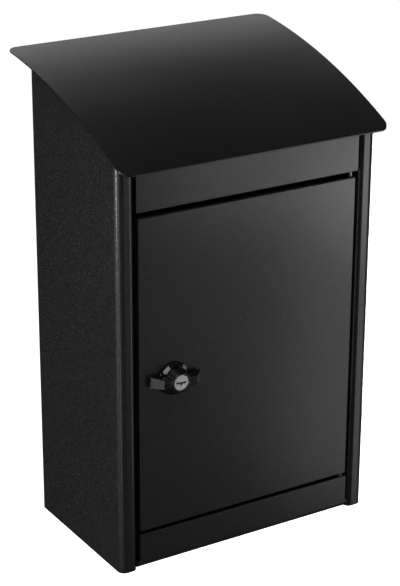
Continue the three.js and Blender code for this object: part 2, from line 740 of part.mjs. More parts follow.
// The wing handle: two wings that taper outwards and forwards, a conical hub, and the spindle that
// carries the cam.
function wingHandle() {
  const tip = 31.5;
  const shoulder = 20.3;
  const wingHalf = { back: 6.7, front: 5.4 };
  const tipBack = FRONT - 3;                   // the wing tips reach back beside the base ring
  const tipWidth = 1.2;
  const step = ROSETTE_RADIUS + 1;
  const plan = [
    [LOCK_X - tip, tipBack],
    [LOCK_X - step, tipBack],
    [LOCK_X - step, HANDLE_BACK],
    [LOCK_X + step, HANDLE_BACK],
    [LOCK_X + step, tipBack],
    [LOCK_X + tip, tipBack],
    [LOCK_X + tip, tipBack - tipWidth],
    [LOCK_X + shoulder, HANDLE_FACE],
    [LOCK_X - shoulder, HANDLE_FACE],
    [LOCK_X - tip, tipBack - tipWidth],
  ];
  const side = [
    [tipBack, LOCK_Z - wingHalf.back],
    [tipBack, LOCK_Z + wingHalf.back],
    [HANDLE_FACE, LOCK_Z + wingHalf.front],
    [HANDLE_FACE, LOCK_Z - wingHalf.front],
  ];
  const wings = common(
    extrudeZ(plan.reverse(), LOCK_Z - 10, LOCK_Z + 10),
    extrudeX(side, LOCK_X - 40, LOCK_X + 40),
  );
  const hub = turned([[0, HANDLE_FACE - 0.6], [HUB.front, HANDLE_FACE - 0.6], [HUB.back, HANDLE_BACK],
    [0, HANDLE_BACK]], LOCK, 40);
  const spindle = rod('y', SPINDLE_RADIUS, HANDLE_BACK - 2, BARREL_END + FIT, LOCK, 32);
  const square = block(LOCK_X - SQUARE, BARREL_END - 1, LOCK_Z - SQUARE, LOCK_X + SQUARE, CAM_BACK - FIT,
    LOCK_Z + SQUARE);
  return cut(
    join(tilted(wings), hub, spindle, square),
    rod('y', PLUG_FACE + FIT, HANDLE_FACE - 5, PLUG_SEAT, LOCK, 40),
    rod('y', PLUG_CORE + FIT, HANDLE_FACE, PLUG_END + FIT, LOCK, 32),
    rod('y', 2.2, PLUG_END + 3, CAM_BACK + 1, LOCK, 20),
  );
}

// The key's way: a level slot with a short notch below its middle.
function keyway(half) {
  const end = PLUG_FRONT + KEYWAY.depth;
  return [
    tilted(block(LOCK_X - half, PLUG_FRONT - 1, LOCK_Z - KEYWAY.halfHeight, LOCK_X + half, end,
      LOCK_Z + KEYWAY.halfHeight)),
    block(LOCK_X - 1.1, PLUG_FRONT - 1, LOCK_Z - 3, LOCK_X + 1.1, PLUG_FRONT + 4, LOCK_Z - 0.5),
  ];
}

// The key plug's bright face, and the core that it carries inside the handle's spindle.
function lockPlug() {
  return cut(rod('y', PLUG_FACE, PLUG_FRONT, PLUG_SEAT - FIT, LOCK, 40), ...keyway(KEYWAY.faceHalf));
}

function plugCore() {
  return cut(rod('y', PLUG_CORE, PLUG_SEAT, PLUG_END, LOCK, 32), ...keyway(KEYWAY.coreHalf));
}

// The cam hangs down while the box is unlatched and turns to the left behind the strike plate.
function cam() {
  const halfWidth = 7;
  const tipRadius = 3;
  const outline = bend([
    [LOCK_X, LOCK_Z + 10],
    [LOCK_X + 10, LOCK_Z + 10, 6],
    [LOCK_X + 10, LOCK_Z - 10, 4],
    [LOCK_X + halfWidth, LOCK_Z - 16, 4],
    [LOCK_X + halfWidth, LOCK_Z - CAM_REACH, tipRadius],
    [LOCK_X - halfWidth, LOCK_Z - CAM_REACH, tipRadius],
    [LOCK_X - halfWidth, LOCK_Z - 16, 4],
    [LOCK_X - 10, LOCK_Z - 10, 4],
    [LOCK_X - 10, LOCK_Z + 10, 6],
    [LOCK_X, LOCK_Z + 10],
  ]).slice(0, -1);
  const hole = SQUARE + FIT;
  return cut(
    extrudeY(outline, CAM_FRONT, CAM_BACK),
    block(LOCK_X - hole, CAM_FRONT - 1, LOCK_Z - hole, LOCK_X + hole, CAM_BACK + 1, LOCK_Z + hole),
  );
}

function camWasher() {
  return cut(
    rod('y', 7.5, CAM_BACK + FIT, CAM_BACK + FIT + 1, LOCK, 28),
    rod('y', 2.2, CAM_BACK - 1, CAM_BACK + 3, LOCK, 20),
  );
}

function camScrew() {
  const seat = CAM_BACK + 2 * FIT + 1;
  const head = rod('y', 3.9, seat, seat + 2.6, LOCK, 24);
  const shank = rod('y', 1.9, CAM_BACK - 9, seat + 1, LOCK, 20);
  const slot = [
    block(LOCK_X - 2.4, seat + 1.4, LOCK_Z - 0.5, LOCK_X + 2.4, seat + 5, LOCK_Z + 0.5),
    block(LOCK_X - 0.5, seat + 1.4, LOCK_Z - 2.4, LOCK_X + 0.5, seat + 5, LOCK_Z + 2.4),
  ];
  return cut(join(head, shank), ...slot);
}

// ---- strike -------------------------------------------------------------------------------------

const STRIKE = {
  x0: -(STILE_INNER + LIP - 0.5),
  x1: -(DOOR_HALF_WIDTH - 9),
  z0: LOCK_Z - 70,
  z1: LOCK_Z + 70,
};
const STRIKE_Y = RETURN_Y + FIT;
const STRIKE_RIVET_X = -(STILE_INNER + 5.4);
const STRIKE_INSET = 9;
const DOOR_BUMPER_X = -(DOOR_HALF_WIDTH - 2.8);
const DOOR_BUMPER_INSET = 22;

function strikePlate() {
  const rivets = [STRIKE.z0 + STRIKE_INSET, STRIKE.z1 - STRIKE_INSET].map((z) => rod(
    'y', RIVET_RADIUS + FIT, STRIKE_Y - 2, STRIKE_Y + 4, [STRIKE_RIVET_X, z], 16));
  return cut(block(STRIKE.x0, STRIKE_Y, STRIKE.z0, STRIKE.x1, STRIKE_Y + SHEET, STRIKE.z1), ...rivets);
}

function doorBumper(z) {
  return rod('y', 4.6, FRONT + DOOR_FLANGE + FIT, STRIKE_Y - FIT, [DOOR_BUMPER_X, z], 20);
}

// ---- assembly -----------------------------------------------------------------------------------

const rightSide = sidePanel();
const strikeHoles = [STRIKE.z0 + STRIKE_INSET, STRIKE.z1 - STRIKE_INSET].map((z) => rod(
  'y', RIVET_RADIUS + FIT, STRIKE_Y - 4, STRIKE_Y + 2, [STRIKE_RIVET_X, z], 16));
piece('right_side_panel', rightSide, texturedBlack);
piece('left_side_panel', cut(mirrored(rightSide), ...strikeHoles), texturedBlack);
piece('back_panel', backPanel(), texturedBlack);
piece('base_tray', baseTray(), texturedBlack);
piece('header_panel', headerPanel(), texturedBlack);
piece('letter_guard', letterGuard(), texturedBlack);
piece('wall_bracket', wallBracket(), texturedBlack);
piece('strike_plate', strikePlate(), zinc);

for (const [sideName, side] of [['left', -1], ['right', 1]]) {
  ['low', 'middle', 'high'].forEach((level, i) => {
    const centre = [side * BACK_RIVET_X, BACK_RIVET_HEIGHTS[i]];
    const body = rivet('y', FIT, BACK_INNER - FIT, centre, 1);
    piece(`back_rivet_${sideName}_${level}`, body, texturedBlack);
  });
  ['front', 'rear'].forEach((end, i) => {
    const centre = [side * BASE_RIVET_X, BASE_RIVET_DEPTHS[i]];
    const body = rivet('z', -FIT, TRAY_Z + SHEET + FIT, centre, -1);
    piece(`base_rivet_${sideName}_${end}`, body, texturedBlack);
  });
  ['low', 'high'].forEach((level, i) => {
    const x = side * MOUNT_BOLT.x;
    const z = MOUNT_BOLT_HEIGHTS[i];
    piece(`mount_bolt_${sideName}_${level}`, mountBolt(x, z), zinc);
    piece(`mount_nut_${sideName}_${level}`, mountNut(x, z), zinc);
  });
  const placed = (geometry) => (side < 0 ? mirrored(geometry) : geometry);
  piece(`rod_bracket_${sideName}`, placed(rodBracket()), zinc);
  piece(`rod_bracket_rivet_${sideName}`, rivet('y', BACK_OUTER + FIT, BACK_INNER - 2 * FIT - SHEET,
    [side * BRACKET_RIVET.x, BRACKET_RIVET.z], 1), zinc);
  piece(`rod_clip_${sideName}`, placed(rodClip()), zinc);
  piece(`lid_ear_${sideName}`, placed(lidEar()), satinBlack);
}
piece('hinge_rod', hingeRod(), zinc);
piece('lid_panel', lidPanel(), satinBlack);

const bumperY = FRONT + 8;       // in the middle of the header's sloping top
const bumperTop = LID_SHEET + FIT;
const bumperHeight = BUMPER_SPACE - 2 * FIT;
const bumperRadius = LID_ARC.radius - bumperTop - bumperHeight / 2;
const slope = Math.asin((LID_ARC.y - bumperY) / LID_ARC.radius);
for (const [sideName, side] of [['left', -1], ['right', 1]]) {
  const pad = new THREE.CylinderGeometry(4.5, 4.8, bumperHeight, 20).rotateX(Math.PI / 2);
  const mesh = piece(`lid_bumper_${sideName}`, pad, rubber);
  mesh.position.set(side * LID_BUMPER_X, LID_ARC.y - bumperRadius * Math.sin(slope),
    LID_ARC.z + bumperRadius * Math.cos(slope));
  mesh.rotation.x = slope;
}

['low', 'high'].forEach((level, i) => {
  const rivetZ = [STRIKE.z0 + STRIKE_INSET, STRIKE.z1 - STRIKE_INSET][i];
  const bumperZ = [STRIKE.z0 + DOOR_BUMPER_INSET, STRIKE.z1 - DOOR_BUMPER_INSET][i];
  piece(`strike_rivet_${level}`, rivet('y', STRIKE_Y + SHEET + FIT, RETURN_Y - SHEET - FIT,
    [STRIKE_RIVET_X, rivetZ], 1), zinc);
  piece(`door_bumper_${level}`, doorBumper(bumperZ), rubber);
});

piece('hinge_bush_top', hingeBush(HEADER_BOTTOM, 1), nylon);
piece('hinge_bush_bottom', hingeBush(STRIP_TOP, -1), nylon);
piece('door_panel', doorPanel(), texturedBlack);
piece('hinge_pin_top', hingePin(DOOR_TOP, HEADER_BOTTOM, 1), zinc);
piece('hinge_pin_bottom', hingePin(DOOR_BOTTOM, STRIP_TOP, -1), zinc);

piece('lock_gasket', lockGasket(), rubber);
piece('lock_rosette', lockRosette(), lockBlack);
piece('lock_mark_right', lockMark(MARKS.right), paleMark);
piece('lock_mark_left', lockMark(MARKS.left), paleMark);
piece('lock_body', lockBody(), zinc);
piece('lock_nut', lockNut(), zinc);
piece('wing_handle', wingHandle(), lockBlack);
piece('lock_plug', lockPlug(), brushedSteel);
piece('plug_core', plugCore(), zinc);
piece('cam', cam(), zinc);
piece('cam_washer', camWasher(), zinc);
piece('cam_screw', camScrew(), zinc);

drawing.position.set(0, -STANDOFF, -MOUNT_Z);

export default mailbox;
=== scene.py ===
import json
import math

import bmesh
import bpy
from mathutils import Matrix, Vector


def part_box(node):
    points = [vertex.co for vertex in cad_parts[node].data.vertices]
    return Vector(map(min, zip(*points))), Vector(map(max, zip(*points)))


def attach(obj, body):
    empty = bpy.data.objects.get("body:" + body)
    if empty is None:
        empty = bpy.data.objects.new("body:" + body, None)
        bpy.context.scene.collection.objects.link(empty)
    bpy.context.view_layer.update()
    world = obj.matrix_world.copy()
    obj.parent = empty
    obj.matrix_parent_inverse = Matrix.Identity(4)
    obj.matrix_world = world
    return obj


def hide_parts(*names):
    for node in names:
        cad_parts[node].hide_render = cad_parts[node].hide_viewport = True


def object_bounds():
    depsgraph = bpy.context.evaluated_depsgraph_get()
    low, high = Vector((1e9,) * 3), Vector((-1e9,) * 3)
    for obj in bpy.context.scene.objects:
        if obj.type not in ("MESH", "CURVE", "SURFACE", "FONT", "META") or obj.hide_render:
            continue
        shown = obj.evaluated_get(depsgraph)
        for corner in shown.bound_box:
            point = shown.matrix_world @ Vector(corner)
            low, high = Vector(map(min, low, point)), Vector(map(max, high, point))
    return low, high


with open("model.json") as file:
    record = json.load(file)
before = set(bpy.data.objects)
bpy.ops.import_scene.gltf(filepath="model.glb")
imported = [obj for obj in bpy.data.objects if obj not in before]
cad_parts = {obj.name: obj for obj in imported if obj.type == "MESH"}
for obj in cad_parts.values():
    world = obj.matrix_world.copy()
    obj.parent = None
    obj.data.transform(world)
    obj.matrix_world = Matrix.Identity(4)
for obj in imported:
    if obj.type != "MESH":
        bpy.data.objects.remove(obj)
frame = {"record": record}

CAD_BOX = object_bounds()
MM = 0.001

# Shapes are drawn in millimetres in the casing's own frame: x = 0 in the middle, y = 0 on the
# casing's rear plane with -y to the front, z = 0 on its underside.

RECORD = frame["record"]
BODY_OF = {node: body for body, nodes in RECORD["behaviour"]["bodies"].items() for node in nodes}
SLOT_OF = {row["node"]: row["material_slot"] for row in RECORD["subparts"]}
SIDE_LOW, SIDE_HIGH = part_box("right_side_panel")
CASING_ORIGIN = Vector((0.0, SIDE_HIGH.y, SIDE_LOW.z))


def local(node):
    """Lowest and highest corner of a CAD node, in millimetres in the casing's frame."""
    low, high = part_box(node)
    return (low - CASING_ORIGIN) / MM, (high - CASING_ORIGIN) / MM


def middle(node):
    low, high = local(node)
    return (low + high) / 2


# ---- sizes --------------------------------------------------------------------------------------

SHEET = 1.2
GAP = 0.3
LID_SHEET = 1.5
LID_CORNER = 13
LID_SAGITTA = 12.9
LID_GAP = 1.2
CORNER_RADIUS = 8.5
STILE_ROLL = 6.5
REAR_FLANGE = 18
EDGE_RADIUS = 1.5
SLOT_FLOOR = 10.5
SWING_CLEAR = 13.8
RIVET_RADIUS = 2.0
ARC_STEPS = 12

side_low, side_high = local("right_side_panel")
HALF = side_high.x
FRONT = side_low.y
STILE_INNER = side_low.x
RETURN_Y = FRONT + 18
LIP_END = STILE_INNER + 9.5
lid_low, lid_high = local("lid_panel")
LID_HALF = lid_high.x
door_low, door_high = local("door_panel")
back_low, back_high = local("back_panel")
tray_low, tray_high = local("base_tray")
STRIP_HALF = 140.1
STRIP_BEND = 6
DRAIN_RADIUS = 3
DRAIN_X = 60
header_low = local("header_panel")[0]
HEADER_HALF = 141.8
MOUNT_RADIUS = 3
MOUNT_HOLE = MOUNT_RADIUS + GAP
BRACKET_SHEET = 1.5
BRACKET_HALF = 95
WALL_HOLE_RADIUS = 3.5
WALL_HOLE_X = 75
WALL_HOLE_INSET = 40
rod_middle = middle("hinge_rod")
ROD = (rod_middle.y, rod_middle.z)
ROD_RADIUS = (local("hinge_rod")[1].z - local("hinge_rod")[0].z) / 2
pin_middle = middle("hinge_pin_top")
PIN = (pin_middle.x, pin_middle.y)
PIN_RADIUS = 1.8
BUSH_RADIUS = 2.9
plug_middle = middle("lock_plug")
LOCK = (plug_middle.x, plug_middle.z)


def circle_through(rear, front, sagitta):
    """Radius and centre (y, z) of the arc through two points that rises `sagitta` over its chord."""
    chord = math.dist(rear, front)
    radius = (chord ** 2 / 4 + sagitta ** 2) / (2 * sagitta)
    up = ((front[1] - rear[1]) / chord, (rear[0] - front[0]) / chord)
    offset = sagitta - radius
    return radius, (rear[0] + front[0]) / 2 + up[0] * offset, (rear[1] + front[1]) / 2 + up[1] * offset


def fit_lid_arc():
    """The lid's top arc. The box's lowest corner is the underside of the front edge."""
    front_z = lid_low.z + LID_SHEET
    for _ in range(3):
        arc = circle_through((lid_high.y, lid_high.z), (lid_low.y, front_z), LID_SAGITTA)
        front_z = lid_low.z + LID_SHEET / math.cos(math.asin((arc[1] - lid_low.y) / arc[0]))
    return arc


LID_RADIUS, LID_Y, LID_Z = fit_lid_arc()


def under_lid(y, below):
    """Height, at depth y, of the surface that lies `below` the lid's top face."""
    return LID_Z + math.sqrt((LID_RADIUS - below) ** 2 - (y - LID_Y) ** 2)


# ---- outlines -----------------------------------------------------------------------------------

def bend(corners, steps=ARC_STEPS):
    """A polyline whose corners (u, v, radius) are rounded with short arcs."""
    line = []
    for i, corner in enumerate(corners):
        here = Vector(corner[:2])
        radius = corner[2] if len(corner) > 2 else 0
        if radius == 0 or i in (0, len(corners) - 1):
            line.append(tuple(here))
            continue
        before = (Vector(corners[i - 1][:2]) - here).normalized()
        after = (Vector(corners[i + 1][:2]) - here).normalized()
        half_angle = math.acos(max(-1.0, min(1.0, before.dot(after)))) / 2
        centre = (before + after).normalized() * (radius / math.sin(half_angle))
        start = before * (radius / math.tan(half_angle)) - centre
        end = after * (radius / math.tan(half_angle)) - centre
        angle = math.atan2(start.y, start.x)
        sweep = math.atan2(end.y, end.x) - angle
        sweep -= 2 * math.pi * round(sweep / (2 * math.pi))
        for k in range(steps + 1):
            turn = angle + sweep * k / steps
            line.append((here.x + centre.x + radius * math.cos(turn),
                         here.y + centre.y + radius * math.sin(turn)))
    return line


def loop(corners, steps=6):
    """A closed outline with rounded corners: the first corner is also the last one's neighbour."""
    around = [corners[-1]] + list(corners) + [corners[0]]
    return bend(around, steps)[1:-1]


def sheet_outline(line, thickness):
    """The closed outline of a folded sheet: the line, and the line moved `thickness` to its right."""
    points = [Vector(p) for p in line]
    inner = []
    for i, point in enumerate(points):
        a = (point - points[i - 1]) if i else (points[1] - point)
        b = (points[i + 1] - point) if i < len(points) - 1 else a
        a, b = a.normalized(), b.normalized()
        mid = (a + b).normalized()
        scale = thickness / mid.dot(a)
        inner.append((point.x + mid.y * scale, point.y - mid.x * scale))
    return list(line) + inner[::-1]


def circle(radius, centre, sides):
    return [(centre[0] + radius * math.cos(2 * math.pi * k / sides),
             centre[1] + radius * math.sin(2 * math.pi * k / sides)) for k in range(sides)]


def lid_line(y0, y1, below, steps):
    return [(y0 + (y1 - y0) * i / steps, under_lid(y0 + (y1 - y0) * i / steps, below))
            for i in range(steps + 1)]


# ---- solids -------------------------------------------------------------------------------------

ON_AXIS = {
    "x": lambda u, v, t: (t, u, v),
    "y": lambda u, v, t: (u, t, v),
    "z": lambda u, v, t: (u, v, t),
}


def solid(bm, name="solid"):
    """A linked object from a bmesh, with its faces turned outwards."""
    bmesh.ops.remove_doubles(bm, verts=bm.verts, dist=1e-5)
    bmesh.ops.recalc_face_normals(bm, faces=bm.faces)
    mesh = bpy.data.meshes.new(name)
    bm.to_mesh(mesh)
    bm.free()
    made = bpy.data.objects.new(name, mesh)
    bpy.context.scene.collection.objects.link(made)
    return made


def add_prism(bm, outline, axis, a, b):
    """An outline extruded along an axis. `b` may be a function of the outline's point."""
    top = b if callable(b) else lambda u, v: b
    low = [bm.verts.new(ON_AXIS[axis](u, v, a)) for u, v in outline]
    high = [bm.verts.new(ON_AXIS[axis](u, v, top(u, v))) for u, v in outline]
    count = len(outline)
    for i in range(count):
        j = (i + 1) % count
        bm.faces.new((low[i], low[j], high[j], high[i]))
    bm.faces.new(low[::-1])
    bm.faces.new(high)


def prism(outline, axis, a, b):
    bm = bmesh.new()
    add_prism(bm, outline, axis, a, b)
    return solid(bm)


def block(x0, y0, z0, x1, y1, z1):
    return prism([(x0, y0), (x1, y0), (x1, y1), (x0, y1)], "z", z0, z1)


def rod(axis, radius, a, b, centre, sides=48):
    return prism(circle(radius, centre, sides), axis, a, b)


def lathe(profile, axis, centre, sides=64):
    """A profile of (radius, place along the axis) turned round; ends on the axis or closes."""
    bm = bmesh.new()
    rings = []
    for radius, t in profile:
        if radius < 1e-6:
            rings.append([bm.verts.new(ON_AXIS[axis](centre[0], centre[1], t))])
        else:
            rings.append([bm.verts.new(ON_AXIS[axis](u, v, t)) for u, v in circle(radius, centre, sides)])
    closed = profile[0][0] > 1e-6
    pairs = list(zip(rings, rings[1:]))
    if closed:
        pairs.append((rings[-1], rings[0]))
    for one, other in pairs:
        for i in range(sides):
            j = (i + 1) % sides
            corners = [one[i % len(one)], one[j % len(one)], other[j % len(other)], other[i % len(other)]]
            distinct = list(dict.fromkeys(corners))
            if len(distinct) > 2:
                bm.faces.new(distinct)
    return solid(bm)


def evaluated(obj):
    """Applies the object's modifiers to its mesh."""
    depsgraph = bpy.context.evaluated_depsgraph_get()
    mesh = bpy.data.meshes.new_from_object(obj.evaluated_get(depsgraph))
    old = obj.data
    obj.modifiers.clear()
    obj.data = mesh
    bpy.data.meshes.remove(old)
    return obj


def combine(obj, tools, operation):
    for tool in tools:
        step = obj.modifiers.new("combine", "BOOLEAN")
        step.operation = operation
        step.solver = "EXACT"
        step.object = tool
    evaluated(obj)
    for tool in tools:
        bpy.data.objects.remove(tool)
    return obj


def cut(obj, *tools):
    return combine(obj, tools, "DIFFERENCE")


def join(obj, *others):
    return combine(obj, others, "UNION")


def common(obj, other):
    return combine(obj, [other], "INTERSECT")


def mirror(obj):
    """The same solid on the other side of the casing."""
    obj.data.transform(Matrix.Diagonal((-1, 1, 1, 1)))
    obj.data.flip_normals()
    return obj


def twin(obj):
    """A mirrored copy."""
    copy = obj.copy()
    copy.data = obj.data.copy()
    bpy.context.scene.collection.objects.link(copy)
    return mirror(copy)


def round_edges(obj, width, angle, segments):
    step = obj.modifiers.new("edges", "BEVEL")
    step.width = width
    step.segments = segments
    step.limit_method = "ANGLE"
    step.angle_limit = math.radians(angle)
    step.miter_outer = "MITER_ARC"
    step.use_clamp_overlap = True
    evaluated(obj)


def place(obj, node, bevel=0.2, angle=40, segments=2):
    """Gives a drawn solid its soft edges, its finish and its place in the frame."""
    obj.name = node + "_fine"
    if bevel:
        round_edges(obj, bevel, angle, segments)
    obj.data.polygons.foreach_set("use_smooth", [True] * len(obj.data.polygons))
    obj.data.set_sharp_from_angle(angle=math.radians(50))
    normals = obj.modifiers.new("normals", "WEIGHTED_NORMAL")
    normals.keep_sharp = True
    normals.weight = 80
    evaluated(obj)
    obj.data.transform(Matrix.Translation(CASING_ORIGIN) @ Matrix.Scale(MM, 4))
    obj.data.name = obj.name
    obj.data.materials.clear()
    obj.data.materials.append(MATERIALS[SLOT_OF[node]])
    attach(obj, BODY_OF[node])
    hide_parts(node)
    return obj


# ---- finishes -----------------------------------------------------------------------------------

class Finish:
    """A procedural material on the object's own coordinates."""

    def __init__(self, name):
        self.material = bpy.data.materials.new(name)
        self.material.use_nodes = True
        self.tree = self.material.node_tree
        self.shader = self.tree.nodes["Principled BSDF"]
        self.place = self.node("ShaderNodeTexCoord").outputs["Object"]

    def put(self, socket, value):
        if isinstance(value, bpy.types.NodeSocket):
            self.tree.links.new(value, socket)
        else:
            socket.default_value = value

    def node(self, kind, settings=None, **inputs):
        made = self.tree.nodes.new(kind)
        for key, value in (settings or {}).items():
            setattr(made, key, value)
        for key, value in inputs.items():
            self.put(made.inputs[key.replace("_", " ")], value)
        return made

    def noise(self, scale, detail=3.0, roughness=0.5, place=None):
        return self.node("ShaderNodeTexNoise", Vector=place or self.place, Scale=scale, Detail=detail,
                         Roughness=roughness).outputs["Fac"]

    def stretched(self, x, y, z):
        return self.node("ShaderNodeMapping", Vector=self.place, Scale=(x, y, z)).outputs["Vector"]

    def ramp(self, value, low, high, out_low, out_high):
        made = self.node("ShaderNodeMapRange", Value=value)
        for key, number in (("From Min", low), ("From Max", high), ("To Min", out_low), ("To Max", out_high)):
            made.inputs[key].default_value = number
        return made.outputs["Result"]

    def math(self, operation, a, b=0.0):
        made = self.node("ShaderNodeMath", {"operation": operation})
        self.put(made.inputs[0], a)
        self.put(made.inputs[1], b)
        return made.outputs["Value"]

    def mix(self, factor, a, b):
        made = self.node("ShaderNodeMix", {"data_type": "RGBA"})
        self.put(made.inputs["Factor"], factor)
        self.put(made.inputs["A"], a)
        self.put(made.inputs["B"], b)
        return made.outputs["Result"]

    def flecks(self, scale, size, share):
        """Small round flecks: 1 inside one, on `share` of the cells of a grid of points."""
        cells = self.node("ShaderNodeTexVoronoi", Vector=self.place, Scale=scale)
        near = self.ramp(cells.outputs["Distance"], size * 0.5, size, 1.0, 0.0)
        chance = self.node("ShaderNodeSeparateColor", Color=cells.outputs["Color"]).outputs["Red"]
        return self.math("MULTIPLY", near, self.math("LESS_THAN", chance, share))

    def bump(self, height, strength, distance):
        return self.node("ShaderNodeBump", Height=height, Strength=strength,
                         Distance=distance).outputs["Normal"]

    def finish(self, **sockets):
        for key, value in sockets.items():
            self.put(self.shader.inputs[key.replace("_", " ")], value)
        return self.material


def grey(value, tint=0.0):
    return (value - tint, value, value + tint, 1.0)


def textured_coat():
    """Fine-textured black powder coat: matt grain with sparse bright flecks."""
    f = Finish("textured_powder_coat")
    grain = f.noise(2600, 4.0, 0.6)
    mottle = f.noise(620, 3.0, 0.65)
    cloud = f.noise(9, 3.0, 0.5)
    fleck = f.flecks(1000, 0.45, 0.06)
    shade = f.mix(f.ramp(mottle, 0.3, 0.72, 0.0, 1.0), grey(0.006), grey(0.026))
    colour = f.mix(fleck, shade, grey(0.15))
    rough = f.math("ADD", f.ramp(mottle, 0.3, 0.7, 0.33, 0.54), f.ramp(cloud, 0.3, 0.7, -0.02, 0.02))
    height = f.math("ADD", grain, f.math("MULTIPLY", mottle, 2.2))
    return f.finish(
        Base_Color=colour,
        Roughness=f.math("SUBTRACT", rough, f.math("MULTIPLY", fleck, 0.12)),
        Normal=f.bump(height, 0.6, 0.00020),
        Specular_IOR_Level=0.5,
        Coat_Weight=0.7,
        Coat_Roughness=0.17,
        Coat_Normal=f.bump(height, 0.14, 0.00008),
    )


def satin_coat():
    """The lid's smoother satin coat, with a faint orange peel."""
    f = Finish("satin_powder_coat")
    peel = f.noise(420, 2.0, 0.5)
    grain = f.noise(2400, 3.0, 0.6)
    cloud = f.noise(7, 3.0, 0.5)
    colour = f.mix(f.ramp(grain, 0.35, 0.65, 0.0, 1.0), grey(0.008), grey(0.013))
    return f.finish(
        Base_Color=colour,
        Roughness=f.math("ADD", f.ramp(peel, 0.3, 0.7, 0.30, 0.36), f.ramp(cloud, 0.3, 0.7, -0.02, 0.02)),
        Normal=f.bump(f.math("ADD", peel, f.math("MULTIPLY", grain, 0.3)), 0.05, 0.0001),
        Specular_IOR_Level=0.5,
    )


def lock_black():
    """Smooth black die-cast lock parts."""
    f = Finish("lock_black")
    wear = f.noise(260, 4.0, 0.6)
    grain = f.noise(3000, 2.0, 0.5)
    colour = f.mix(f.ramp(wear, 0.35, 0.75, 0.0, 1.0), grey(0.006), grey(0.014))
    return f.finish(
        Base_Color=colour,
        Roughness=f.ramp(wear, 0.3, 0.7, 0.20, 0.32),
        Normal=f.bump(grain, 0.08, 0.00005),
        Coat_Weight=0.2,
        Coat_Roughness=0.15,
    )


def metal(name, dark, light, rough, stretch, tint=0.0, relief=0.15):
    """Bright metal with drawn lines along one axis."""
    f = Finish(name)
    lines = f.noise(1.0, 4.0, 0.65, f.stretched(*stretch))
    spots = f.noise(180, 4.0, 0.55)
    blend = f.math("MULTIPLY", f.math("ADD", lines, spots), 0.5)
    colour = f.mix(f.ramp(blend, 0.35, 0.65, 0.0, 1.0), grey(dark, tint), grey(light, tint))
    return f.finish(
        Base_Color=colour,
        Metallic=1.0,
        Roughness=f.ramp(lines, 0.3, 0.7, rough - 0.06, rough + 0.08),
        Normal=f.bump(lines, relief, 0.00003),
    )


def soft_matt(name, dark, light, rough, scale, strength):
    """Rubber, nylon or an enamel fill: a matt colour with its own fine surface."""
    f = Finish(name)
    grain = f.noise(scale, 4.0, 0.6)
    cloud = f.noise(scale / 12, 2.0, 0.5)
    colour = f.mix(f.ramp(f.math("MULTIPLY", f.math("ADD", grain, cloud), 0.5), 0.35, 0.65, 0.0, 1.0),
                   dark, light)
    return f.finish(
        Base_Color=colour,
        Roughness=f.ramp(grain, 0.3, 0.7, rough - 0.06, rough + 0.06),
        Normal=f.bump(grain, strength, 0.0001),
    )


MATERIALS = {
    "textured_powder_coat": textured_coat(),
    "satin_powder_coat": satin_coat(),
    "lock_black": lock_black(),
    "brushed_plug_face": metal("brushed_plug_face", 0.84, 0.94, 0.36, (350, 350, 2600), 0.0, 0.03),
    "zinc_plate": metal("zinc_plate", 0.40, 0.60, 0.34, (900, 900, 900), 0.008),
    "black_rubber": soft_matt("black_rubber", grey(0.010), grey(0.022), 0.78, 1500, 0.25),
    "natural_nylon": soft_matt("natural_nylon", (0.50, 0.48, 0.42, 1), (0.62, 0.60, 0.54, 1), 0.45, 900, 0.1),
    "pale_mark": soft_matt("pale_mark", grey(0.40), grey(0.50), 0.42, 1200, 0.08),
}


# ---- casing -------------------------------------------------------------------------------------

def top_of_side(y):
    """Height of a side panel's top edge: under the lid, and rounded off behind the hinge rod."""
    if y <= ROD[0]:
        return under_lid(y, LID_SHEET + LID_GAP)
    return ROD[1] + math.sqrt(max(SWING_CLEAR ** 2 - (y - ROD[0]) ** 2, 0))


def with_steps(line, longest):
    """The same line with points added along its long straight stretches."""
    points = [line[0]]
    for start, end in zip(line, line[1:]):
        parts = max(1, math.ceil(math.dist(start, end) / longest))
        for k in range(1, parts + 1):
            points.append((start[0] + (end[0] - start[0]) * k / parts,
                           start[1] + (end[1] - start[1]) * k / parts))
    return points


BACK_RIVETS = {level: middle(f"back_rivet_right_{level}") for level in ("low", "middle", "high")}
BASE_RIVETS = {end: middle(f"base_rivet_right_{end}") for end in ("front", "rear")}
STRIKE_RIVETS = {level: middle(f"strike_rivet_{level}") for level in ("low", "high")}
MOUNT_BOLTS = {level: middle(f"mount_bolt_right_{level}") for level in ("low", "high")}
ROD_RIVET = middle("rod_bracket_rivet_right")
HOLE = RIVET_RADIUS + GAP


def side_panel(side):
    """One folded sheet: rear flange, wall, rounded corner, stile, rolled edge, return and lip, with
    a flange along the bottom that carries the floor."""
    line = bend([
        (HALF - REAR_FLANGE, 0),
        (HALF, 0, 2.5),
        (HALF, FRONT, CORNER_RADIUS),
        (STILE_INNER, FRONT, STILE_ROLL),
        (STILE_INNER, RETURN_Y, 1.6),
        (LIP_END, RETURN_Y),
    ])
    outline = sheet_outline(with_steps(line, 6), SHEET)
    wall = prism(outline, "z", 0, lambda x, y: top_of_side(y))
    flange = block(HALF - REAR_FLANGE, RETURN_Y + 6, 0, HALF - SHEET / 2, -6, SHEET)
    panel = join(wall, flange)
    holes = [rod("y", HOLE, -4, 2, (r.x, r.z), 24) for r in BACK_RIVETS.values()]
    holes += [rod("z", HOLE, -1, 2, (r.x, r.y), 24) for r in BASE_RIVETS.values()]
    if side < 0:
        holes += [rod("y", HOLE, RETURN_Y - 4, RETURN_Y + 2, (-r.x, r.z), 24)
                  for r in STRIKE_RIVETS.values()]
    cut(panel, *holes)
    return mirror(panel) if side < 0 else panel


